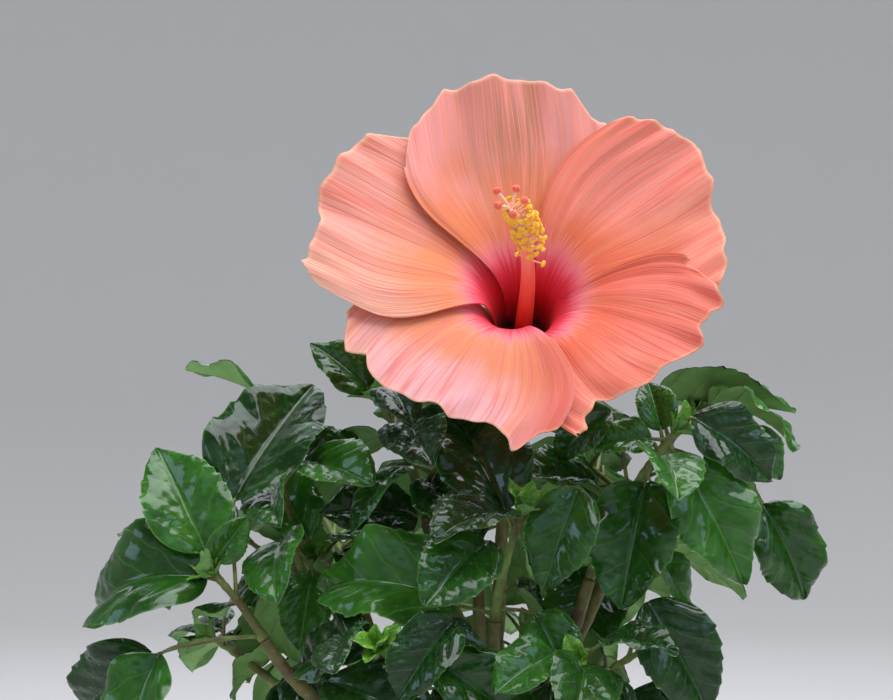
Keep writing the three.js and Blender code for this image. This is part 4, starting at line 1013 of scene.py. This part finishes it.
def petalSurface(order, petal, place, reach, rise):
    # place runs across (-1 behind to 1 in front) in rays from the claw, reach along each ray to the margin
    side = np.sin(place * math.pi / 2)
    widest = petalForm["widest"]
    margin = widest + (1 - widest) * np.sqrt(np.maximum(0, np.cos(place * math.pi / 2)))
    edge = 1 + np.interp(place, np.linspace(-1, 1, len(petal["margin"])), petal["margin"])
    edge = edge + 0.005 * np.sin(23 * place + 2.9 * order) + 0.004 * np.sin(41 * place + 5.3 * order)
    for where, width, tall in petal["points"]:
        edge = edge + tall * np.exp(-abs((place - where) / width) ** 1.3)
    share = reach * margin * lerp(1, edge, smooth(reach, 0.45, 1.0))
    half = np.where(side > 0, petal["front"], petal["behind"])
    early = np.where(side > 0, petal["late"], petalForm["early"])
    fan = lerp(petalForm["claw"], half, smooth(share, early, petalForm["full"]))
    fan = fan * np.minimum(1, 0.35 + share / 0.05)
    middle = math.radians(petal["turn"]) + 0 * share
    under = petal["gaps"][1] * 0.72 * (1 - smooth(share, 0.34, 0.58))
    meet = np.radians(np.where(side > 0, petal["gaps"][0] * 0.53 * (1 - smooth(share, 0.26, 0.42)), under))
    spread = ((fan / bowlAt(share, middle)[0]) ** 6 + meet**6) ** (1 / 6)  # the claws lap in the throat
    turn = middle - side * spread
    radius, height = bowlAt(share, turn)
    lean = wallLean(share, turn)
    normal = outward(turn) * -np.cos(lean)[..., None] + np.multiply.outer(np.sin(lean), axis)
    wave = np.sin(9 * side + 2.1 * order) * side**2 + np.sin(7 * side + order) * share**6
    lift = petalForm["overlap"] * side * smooth(share, 0.1, 0.36)
    lift = lift + petalForm["ruffle"] * wave * smooth(share, 0.2, 0.6)
    for k in range(petalForm["creases"]):  # soft, along the veins
        where = -0.9 + 1.8 * (k + chance(order, k, 71)) / petalForm["creases"]
        width = drawn(0.025, 0.07, order, k, 72)
        inOrOut = 1 if chance(order, k, 74) > 0.4 else -0.7
        depth = petalForm["crease"] * (0.35 + chance(order, k, 73)) * inOrOut
        bend = where + 0.03 * np.sin(5 * share + k)
        lift = lift - depth * np.exp(-(((place - bend) / width) ** 2)) * smooth(share, 0.3, 0.62)
    pleats = np.sin(47 * place + 1.3 * order + 2 * np.sin(5 * place)) + 0.6 * np.sin(83 * place + 4 * order)
    lift = lift + petalForm["pleat"] * pleats * smooth(share, 0.3, 0.65)
    curls = np.sin(17 * place + 2.3 * order) + 0.7 * np.sin(31 * place + 1.1 * order + share * 3)
    lift = lift + petalForm["frill"] * curls * smooth(reach, 0.68, 1.0) ** 2 * (1 - abs(side) ** 6)
    at = seat + np.multiply.outer(height, axis) + outward(turn) * radius[..., None]
    return at + normal * (lift + rise)[..., None], share, side


def silkPetal(name, seed, petal):
    # hibiscus petal: thin and silky with fine forking veins; orange and rose, with a pink halo and a red eye,
    # a patch of painted shade and light, and a red flush with painted shade along folds and edges
    material, tree = newMaterial(name)
    colours, dusk, flushAndFoldShade = petal["colours"], petal["dusk"], petal["flushAndFoldShade"]
    rayMap = addNode(tree, "SeparateXYZ", {0: addNode(tree, "UVMap", uv_map="OFBake")}).node
    share = addNode(tree, "SeparateXYZ", {0: addNode(tree, "UVMap", uv_map="petal")}, out=1)
    ray, reach = rayMap.outputs[0], rayMap.outputs[1]

    def along(across, outwards, shift, detail=3.0):  # noise drawn out along the veins
        wide = addNode(tree, "Math", {0: ray, 1: across}, operation="MULTIPLY")
        far = addNode(tree, "Math", {0: share, 1: outwards}, operation="MULTIPLY")
        at = addNode(tree, "CombineXYZ", {0: wide, 1: far, 2: seed + shift})
        return addNode(tree, "TexNoise", {"Vector": at, "Scale": 1.0, "Detail": detail, "Roughness": 0.55})

    def closeTo(value, centre, width):  # 1 at the centre, fading to both sides
        off = addNode(tree, "Math", {0: value, 1: centre}, operation="SUBTRACT")
        apart = addNode(tree, "Math", {0: off}, operation="ABSOLUTE")
        return addNode(tree, "MapRange", {0: apart, 1: 0.0, 2: width, 3: 1.0, 4: 0.0},
                       interpolation_type="SMOOTHSTEP")
    fibres, streaks = along(120.0, 1.6, 2.0), along(15.0, 1.1, 4.0)
    blush = along(3.4, 2.6, 9.0)
    outer = addNode(tree, "Math", {0: share, 1: 0.9, 2: -0.55}, operation="MULTIPLY_ADD")
    rosy = addNode(tree, "Math", {0: blush, 1: outer}, operation="ADD")
    blushed = addNode(tree, "MapRange", {0: rosy, 1: 0.36, 2: 0.7}, interpolation_type="SMOOTHSTEP")
    skin = addNode(tree, "Mix", {0: blushed, 6: colours[0], 7: colours[1]}, out=2, data_type="RGBA")
    # painted shade and light: a patch across the rays, on the outer part of the petal and broken by the
    # streaks; darker than the ground on the upper petals, paler on the left and lower right ones
    high = addNode(tree, "MapRange", {0: share, 1: 0.42, 2: 0.8, 4: dusk[2]}, interpolation_type="SMOOTHSTEP")
    patchy = addNode(tree, "MapRange", {0: streaks, 1: 0.3, 2: 0.62, 3: 0.35, 4: 1.0})
    zone = addNode(tree, "Math", {0: closeTo(ray, dusk[0], 2 * dusk[1]), 1: high}, operation="MULTIPLY")
    paintedShadeAndLightMask = addNode(tree, "Math", {0: zone, 1: patchy}, operation="MULTIPLY")
    # red flush, partly the petal's own redder tone and partly painted shade where a fold or an edge turns
    # from the light: a coral band along one ray
    flushAndFoldShadeMask = addNode(tree, "Math", {0: closeTo(ray, flushAndFoldShade[0], 2 * flushAndFoldShade[1]), 1: flushAndFoldShade[2]}, operation="MULTIPLY")
    light = addNode(tree, "MapRange", {0: streaks, 1: 0.46, 2: 0.74, 4: 0.24})
    grain = addNode(tree, "MapRange", {0: fibres, 1: 0.4, 2: 0.65, 3: 0.0, 4: 0.3})
    wideLines = closeTo(along(38.0, 0.9, 0.0, 1.0), 0.5, 0.05)  # they fork as the noise crosses its middle
    fineLines = closeTo(along(86.0, 1.4, 6.0, 1.0), 0.5, 0.08)
    lines = addNode(tree, "Math", {0: fineLines, 1: 0.6, 2: wideLines}, operation="MULTIPLY_ADD")
    thin = addNode(tree, "Math", {0: lines, 1: 0.5}, operation="MULTIPLY", use_clamp=True)
    feather = addNode(tree, "Math", {0: fibres, 1: 0.22, 2: -0.11 - petal["eye"]}, operation="MULTIPLY_ADD")
    ragged = addNode(tree, "Math", {0: share, 1: feather}, operation="ADD")
    eye = addNode(tree, "ValToRGB", {0: ragged}, ramp=[
        (0.05, "#4a0406"), (0.43, "#f6a092"),
        (0.12, "#b4141a"), (0.22, "#dd2631"), (0.305, "#e73e50"), (0.36, "#f07480")])
    inside = addNode(tree, "MapRange", {0: ragged, 1: 0.36, 2: 0.45, 3: 1.0, 4: 0.0},
                     interpolation_type="SMOOTHSTEP")
    rim = addNode(tree, "MapRange", {0: reach, 1: 0.978, 2: 0.994, 4: 0.3}, interpolation_type="SMOOTHSTEP")
    layers = [(paintedShadeAndLightMask, colours[2]), (flushAndFoldShadeMask, "#d8604a"), (light, "#f8ac82"), (grain, "#d9745c"),
              (thin, colours[3]), (inside, eye), (rim, "#fdc79a")]
    for depth, colour in layers:  # each is laid over those before it
        skin = addNode(tree, "Mix", {0: depth, 6: skin, 7: colour}, out=2, data_type="RGBA")
    height = addNode(tree, "Math", {0: lines, 1: -0.8, 2: fibres}, operation="MULTIPLY_ADD")
    bump = addNode(tree, "Bump", {"Strength": 0.35, "Distance": 0.25 * mm, "Height": height})
    rough = addNode(tree, "MapRange", {0: streaks, 1: 0.3, 2: 0.7, 3: 0.52, 4: 0.68})
    shader = addNode(tree, "BsdfPrincipled", {
        "Base Color": skin, "Roughness": rough, "IOR": 1.33, "Subsurface Weight": 0.1,
        "Subsurface Radius": (1.0, 0.4, 0.3), "Subsurface Scale": 1.2 * mm,
        "Sheen Weight": 0.04, "Sheen Roughness": 0.4, "Normal": bump})
    addNode(tree, "OutputMaterial", {"Surface": shader})
    return material


def petalPile(order, petal):
    rows, columns = petalForm["rows"], petalForm["columns"]
    reaches, places = np.linspace(0, 1, rows + 1) ** 0.85, np.linspace(-0.995, 0.995, columns + 1)
    reach, place = np.meshgrid(reaches, places, indexing="ij")
    thin = petalForm["thick"] / 2 * (1 - 0.75 * smooth(reach, 0.85, 1.0))
    front, share, side = petalSurface(order, petal, place, reach, thin)
    back = petalSurface(order, petal, place, reach, -thin)[0]
    m = rows // 2
    outwards = np.cross(front[m, m + 1] - front[m, m], front[m + 1, m] - front[m, m])
    inwards = outwards.dot(front[m, m] - back[m, m]) < 0
    frontFaces, backFaces = gridFaces(rows, columns, not inwards), gridFaces(rows, columns, inwards)
    count = front[..., 0].size
    edgeLoop = ([*range(columns + 1)] + [i * (columns + 1) + columns for i in range(1, rows + 1)]
                + [rows * (columns + 1) + j for j in range(columns - 1, -1, -1)]
                + [i * (columns + 1) for i in range(rows - 1, 0, -1)])
    ring = list(zip(edgeLoop, edgeLoop[1:] + edgeLoop[:1]))
    sides = [[b, a, a + count, b + count] if not inwards else [a, b, b + count, a + count] for a, b in ring]
    faces = frontFaces + [[i + count for i in face] for face in backFaces] + sides
    rays = np.stack([0.5 + 0.5 * place, reach], -1)
    own = np.stack([0.5 + 0.5 * side, share], -1)
    pile = newPile()
    addTo(pile, np.concatenate([front.reshape(-1, 3), back.reshape(-1, 3)]), faces,
          OFBake=np.concatenate([rays.reshape(-1, 2)] * 2), petal=np.concatenate([own.reshape(-1, 2)] * 2))
    return pile


for order, (name, petal) in enumerate(petals.items()):
    title = "petal" + "".join(word.capitalize() for word in name.split("_"))
    silk = silkPetal("silk" + title.capitalize(), 3.7 * order, petal)
    show(petalPile(order, petal), title, silk, "petal", f"petal_{name}")
print("petals opened")

# stamen column, anthers and stigmas

columnForm = {
    "length": 68, "foot": 0.3, "sway": 5, "base": 3.1, "tip": 1.5, "rib": 0.05, "sides": 30, "rows": 90,
    "stamens": 96, "from": 0.6, "to": 0.975, "filament": 5.4, "anther": 1.25, "slim": 0.62, "dent": 0.4,
    "fork": 0.985, "branch": 5.2, "pad": 1.4, "padHalf": 1.15,
    "stigmas": [(-4.6, 4.3), (1.5, 5.2), (-4.2, -2.0), (4.0, 0.2), (0.2, -5.8)],  # right and up from the fork
}


def spoke(turn, lift):
    return outward(turn) * math.cos(math.radians(lift)) + axis * math.sin(math.radians(lift))


def fleshyColumn():
    # waxy flesh of the stamen tube: coral red low down, paling to pink where the stamens stand
    material, tree = newMaterial("fleshyStamenTube")
    skin = addNode(tree, "UVMap", uv_map="OFBake")
    share = addNode(tree, "SeparateXYZ", {0: skin}, out=1)
    streak = addNode(tree, "TexNoise", {"Vector": skin, "Scale": 14.0, "Detail": 3.0})  # 5 mm streaks
    moved = addNode(tree, "Math", {0: streak, 1: 0.16, 2: share}, operation="MULTIPLY_ADD")
    tone = addNode(tree, "ValToRGB", {0: moved}, ramp=[
        (0.1, "#cc1e1c"), (1.0, "#ffe6dd"), (0.3, "#f24a38"), (0.62, "#fa6c58"), (0.82, "#fc9e88")])
    bump = addNode(tree, "Bump", {"Strength": 0.25, "Distance": 0.2 * mm, "Height": streak})
    rough = addNode(tree, "MapRange", {0: streak, 1: 0.3, 2: 0.7, 3: 0.34, 4: 0.5})
    shader = addNode(tree, "BsdfPrincipled", {
        "Base Color": tone, "Roughness": rough, "IOR": 1.4, "Subsurface Weight": 0.15,
        "Subsurface Radius": (1.0, 0.35, 0.3), "Subsurface Scale": 1.2 * mm, "Normal": bump})
    addNode(tree, "OutputMaterial", {"Surface": shader})
    return material


def dustyPollen(name, dark, pale, grain):
    # pollen and stigma velvet: no gloss, a soft grain all over, paler on the raised grains and darker between
    # them
    material, tree = newMaterial(name)
    place = addNode(tree, "TexCoord", out=3)
    grains = addNode(tree, "TexVoronoi", {"Vector": place, "Scale": 1 / (grain * mm)})
    tone = addNode(tree, "ValToRGB", {0: grains}, ramp=[(0.05, pale), (0.7, dark)])
    rough = addNode(tree, "MapRange", {0: grains, 3: 0.6, 4: 0.85})
    bump = addNode(tree, "Bump", {"Strength": 0.7, "Distance": 0.2 * mm, "Height": grains}, invert=True)
    shader = addNode(tree, "BsdfPrincipled", {
        "Base Color": tone, "Roughness": rough, "IOR": 1.4, "Sheen Weight": 0.2, "Normal": bump})
    addNode(tree, "OutputMaterial", {"Surface": shader})
    return material


def addLump(pile, centre, way, long, wide, dent, rows=8, sides=12):  # a rounded body, dented along one side
    side = squareTo(vec(0.31, 0.77, 0.2), way)
    other = np.cross(way, side)
    latitudes, turns = np.linspace(0.02, math.pi - 0.02, rows + 1), np.linspace(0, 2 * math.pi, sides + 1)
    latitude, turn = np.meshgrid(latitudes, turns, indexing="ij")
    girth = np.sin(latitude) * wide * (1 - dent * np.exp(-((np.abs(turn - math.pi) / 0.7) ** 2)))
    at = (centre + np.multiply.outer(-np.cos(latitude) * long, way)
          + np.multiply.outer(girth * np.cos(turn), side) + np.multiply.outer(girth * np.sin(turn), other))
    addTo(pile, at, gridFaces(rows, sides, flip=True))


def columnRadius(share, turn):
    ribs = 1 + columnForm["rib"] * math.cos(5 * turn)
    return lerp(columnForm["base"], columnForm["tip"], share) * ribs


length, sway = columnForm["length"], rightward * columnForm["sway"]
columnLine = bezier(  # it bends right, then nods left
    seat + axis * columnForm["foot"], seat + axis * length / 3,
    seat + axis * (2 * length) / 3 + sway, seat + axis * length - risen - sway)
columnPile, filamentPile, antherPile, stigmaPile = newPile(), newPile(), newPile(), newPile()
verts, faces, uv = tube(columnLine, columnRadius, columnForm["sides"], columnForm["rows"])
addTo(columnPile, verts, faces, OFBake=uv)
for i in range(columnForm["stamens"]):
    share = lerp(columnForm["from"], columnForm["to"], math.sqrt((i + 0.5) / columnForm["stamens"]))
    root = pointAt(columnLine, share)
    way = spoke(math.radians(golden * i), drawn(8, 40, i, 3)) + rightward * 0.3  # they crowd to the right
    end = root + way * columnForm["filament"] * drawn(0.78, 0.25, i, 5)
    line = bezier(root, root + way * 2.5, end - axis * 0.2, end)
    addTo(filamentPile, *tube(line, lambda s, t: 0.3 - 0.1 * s, 6, 6)[:2])
    across = squareTo(spoke(math.radians(golden * i + 90), 60 * (chance(i, 7) - 0.5)), way)
    anther = columnForm["anther"]
    addLump(antherPile, end, across, anther, columnForm["slim"] * anther, columnForm["dent"])
top = pointAt(columnLine, columnForm["fork"])
for right, above in columnForm["stigmas"]:
    end = top + rightward * right + risen * above + axis * columnForm["branch"]
    way = unit(end - top)
    line = bezier(top, top + axis * 2.5 + way * 1.2, end - axis * 0.6, end)
    addTo(filamentPile, *tube(line, lambda s, t: 0.62 - 0.12 * s, 8, 12)[:2])
    addLump(stigmaPile, end, way, columnForm["padHalf"], columnForm["pad"], 0.0, 12, 20)
show(columnPile, "stamenTube", fleshyColumn(), "stamens", "stamen_column")
powdery = {  # the pile; material, darker and paler tone, size of its grain in mm
    "filaments": (filamentPile, "fleshyFilament", "#fdb088", "#ffe6c8", 0.6),
    "anthers": (antherPile, "dustyPollen", "#ffb612", "#ffda50", 0.32),
    "stigmas": (stigmaPile, "stigmaVelvet", "#f25034", "#ff9a78", 0.4),
}
for name, (pile, *looks) in powdery.items():
    show(pile, name, dustyPollen(*looks), "stamens", "stamen_column")
print("stamens set")

# calyx with its ring of bracts, and the flower's stalk

calyxForm = {
    "depth": 5, "bowl": 10.6, "flare": 2.8, "height": 9.5, "tooth": 5.5, "rib": 0.18, "wall": 0.9,
    "stalk": 2.1, "sides": 120,
    "bracts": 7, "bractLength": 12, "bractWidth": 1.3, "bractFoot": 3.2, "bractRing": 4.6,
}
pedicelForm = {  # the flower's stalk, with a joint and a swollen top
    "gap": 0.3, "bend": 22, "base": 1.8, "tip": 1.5, "top": 0.9, "sides": 18, "rows": 90,
    "joint": 0.35, "jointAt": 0.62, "jointRun": 0.012,
}


def calyxPile(form):
    pile = newPile()
    bowl, high = form["bowl"], form["height"]
    outer = [  # radius and height
        (form["stalk"], -form["depth"]), (bowl * 0.5, -3.4), (bowl * 0.8, -1), (bowl * 0.94, 2),
        (bowl, high / 2), (bowl + 0.9, 7.2), (bowl + form["flare"], high)]
    inner = [(r - form["wall"], h + (0.8 if h < 0 else 0)) for r, h in reversed(outer)]
    profile = denser(outer, 0.7) + denser(inner, 1.2)
    turn = np.linspace(0, 2 * math.pi, form["sides"] + 1)
    rows = []
    for radius, height in profile:
        tooth = form["tooth"] * (0.5 + 0.5 * np.cos(5 * turn)) ** 1.3 * smooth(height, 3.0, high) ** 2
        ribs = form["rib"] * np.cos(15 * turn) * smooth(height, -4.0, 0.0)
        out = outward(turn) * (radius + ribs + 0.15 * tooth)[:, None]
        rows.append(seat + np.multiply.outer(height + tooth, axis) + out)
    addTo(pile, np.array(rows), gridFaces(len(profile) - 1, form["sides"]))
    for k in range(form["bracts"]):
        out = outward(2 * math.pi * (k + 0.5) / form["bracts"])
        root = seat - axis * form["bractFoot"] + out * form["bractRing"]
        tip = root + out * 7.4 + axis * form["bractLength"]
        line = bezier(root, root + out * 4 + axis * 0.5, root + out * 7 + axis * 5, tip)
        addTo(pile, *tube(line, bractRadius, 10, 20)[:2])
    return pile


def bractRadius(share, turn):  # pointed, and flatter than wide
    belly = calyxForm["bractWidth"] * math.sin(math.pi * min(0.98, 0.25 + 0.73 * share))
    return belly * (1 if abs(math.cos(turn)) > 0.5 else 0.6)


def pedicelRadius(share, turn):
    form = pedicelForm
    joint = form["joint"] * math.exp(-(((share - form["jointAt"]) / form["jointRun"]) ** 2))
    return lerp(form["base"], form["tip"], share) + joint + form["top"] * smooth(share, 0.93, 1.0)


def addPedicel(pile, form):  # from the leader's tip to the foot of the calyx
    end = seat - axis * (calyxForm["depth"] + form["gap"])
    root = limbs["leader"][-1] + leaving["leader"] * form["gap"]
    line = bezier(root, root + leaving["leader"] * form["bend"], end - axis * form["bend"], end)
    addTo(pile, *tube(line, pedicelRadius, form["sides"], form["rows"])[:2])


def downyGreen():
    # calyx and flower stalk: young green tissue under fine down, which takes the gloss off
    material, tree = newMaterial("downyGreenCalyx")
    place = addNode(tree, "TexCoord", out=3)
    patch = addNode(tree, "TexNoise", {"Vector": place, "Scale": 1 / (5 * mm), "Detail": 3.0})
    down = addNode(tree, "TexNoise", {"Vector": place, "Scale": 1 / (0.6 * mm), "Detail": 2.0})
    tone = addNode(tree, "ValToRGB", {0: patch}, ramp=[(0.3, "#56752e"), (0.7, "#86a44c")])
    rough = addNode(tree, "MapRange", {0: down, 1: 0.3, 2: 0.7, 3: 0.5, 4: 0.7})
    bump = addNode(tree, "Bump", {"Strength": 0.3, "Distance": 0.15 * mm, "Height": down})
    shader = addNode(tree, "BsdfPrincipled", {
        "Base Color": tone, "Roughness": rough, "IOR": 1.42, "Sheen Weight": 0.25, "Normal": bump})
    addNode(tree, "OutputMaterial", {"Surface": shader})
    return material


greenPile = calyxPile(calyxForm)
addPedicel(greenPile, pedicelForm)
show(greenPile, "calyxAndStalk", downyGreen(), "green_shoot", "calyx", "flower_stalk")
print("calyx set")

# studio: a pale floor that sweeps up all round, soft lights from above, camera level with the flower

studioForm = {
    "flat": 1500, "sweep": 900, "wall": 1500, "steps": 24, "sides": 128, "floor": "#d0cecb",
    "air": "#dfe4ee", "airStrength": 0.16,
}


def paleFloor(colour):
    # rolled matt paint: an even pale tone with the slightest roller texture
    material, tree = newMaterial("rolledMattPaint")
    place = addNode(tree, "TexCoord", out=3)
    roller = addNode(tree, "TexNoise", {"Vector": place, "Scale": 1 / (6 * mm), "Detail": 2.0})
    bump = addNode(tree, "Bump", {"Strength": 0.05, "Distance": 0.2 * mm, "Height": roller})
    shader = addNode(tree, "BsdfPrincipled", {"Base Color": colour, "Roughness": 0.85, "Normal": bump})
    addNode(tree, "OutputMaterial", {"Surface": shader})
    return material


def floorPile(form):
    pile = newPile()
    flat, sweep, sides = form["flat"], form["sweep"], form["sides"]
    profile = [(1, 0), (300, 0), (1200, 0), (flat, 0)]
    for k in range(1, form["steps"] + 1):
        a = math.radians(90 * k / form["steps"])
        profile.append((flat + sweep * math.sin(a), sweep * (1 - math.cos(a))))
    profile.append((flat + sweep, sweep + form["wall"]))
    turn = np.linspace(0, 2 * math.pi, sides + 1)
    rows = [np.stack([r * np.cos(turn), r * np.sin(turn), np.full(sides + 1, h)], 1) for r, h in profile]
    addTo(pile, np.array(rows), gridFaces(len(rows) - 1, sides))
    return pile


floor = bpy.data.objects.new("studioFloor", meshOf(floorPile(studioForm), "studioFloor"))
floor.data.materials.append(paleFloor(studioForm["floor"]))
bpy.context.scene.collection.objects.link(floor)

lamps = {  # place and aim in metres, size, watts, colour
    "softboxAbove": ((0.22, -0.1, 1.55), (0.02, 0, 0.24), (1.5, 1.35), 34, "#f5f7fe"),
    "softboxBack": ((-0.15, 1.2, 1.2), (0, 0, 0.22), (1.6, 0.8), 7, "#eef4ff"),
    "skyFront": ((0.25, -1.5, 1.05), (0, 0, 0.2), (2.2, 0.9), 4.6, "#c2deff"),
    "skyLeft": ((-1.25, -0.32, 0.7), (-0.05, 0, 0.19), (0.7, 0.5), 3.4, "#c2deff"),
    "skyRight": ((0.95, -0.58, 0.95), (0.05, 0, 0.2), (0.6, 0.5), 2.4, "#c2deff"),
}
for k in range(6):  # a ring that lights only the wall
    out = aimed(60 * k + 30, 0)
    place, aim = tuple(out * 1.2 + up * 2.3), tuple(out * 2.35 + up * 0.4)
    lamps[f"wallWash{k}"] = (place, aim, (0.8, 0.3), 1.0, "#f6f6f6")
for name, (place, aim, size, watts, colour) in lamps.items():
    lamp = bpy.data.lights.new(name, "AREA")
    lamp.shape, lamp.size, lamp.size_y = "RECTANGLE", *size
    lamp.energy, lamp.color = watts, hexColour(colour)[:3]
    stand = bpy.data.objects.new(name, lamp)
    stand.location = place
    stand.rotation_euler = (Vector(aim) - Vector(place)).to_track_quat("-Z", "Y").to_euler()
    bpy.context.scene.collection.objects.link(stand)
world = bpy.data.worlds.new("studioAir")
world.use_nodes = True
sky = world.node_tree.nodes["Background"]
sky.inputs[0].default_value = hexColour(studioForm["air"])
sky.inputs[1].default_value = studioForm["airStrength"]
bpy.context.scene.world = world

cameraForm = {"sensor": 36, "focal": 2727, "frame": 893, "place": (-7.755, -900, 245.5)}  # focal, frame: px
camera = bpy.data.objects.new("camera", bpy.data.cameras.new("camera"))
camera.data.sensor_width = cameraForm["sensor"]
camera.data.lens = cameraForm["sensor"] * cameraForm["focal"] / cameraForm["frame"]
camera.location = [p * mm for p in cameraForm["place"]]
camera.rotation_euler = (math.radians(90), 0, 0)
camera.data.clip_start = 0.01
bpy.context.scene.collection.objects.link(camera)
bpy.context.scene.camera = camera
bpy.context.scene.view_settings.view_transform = "Standard"
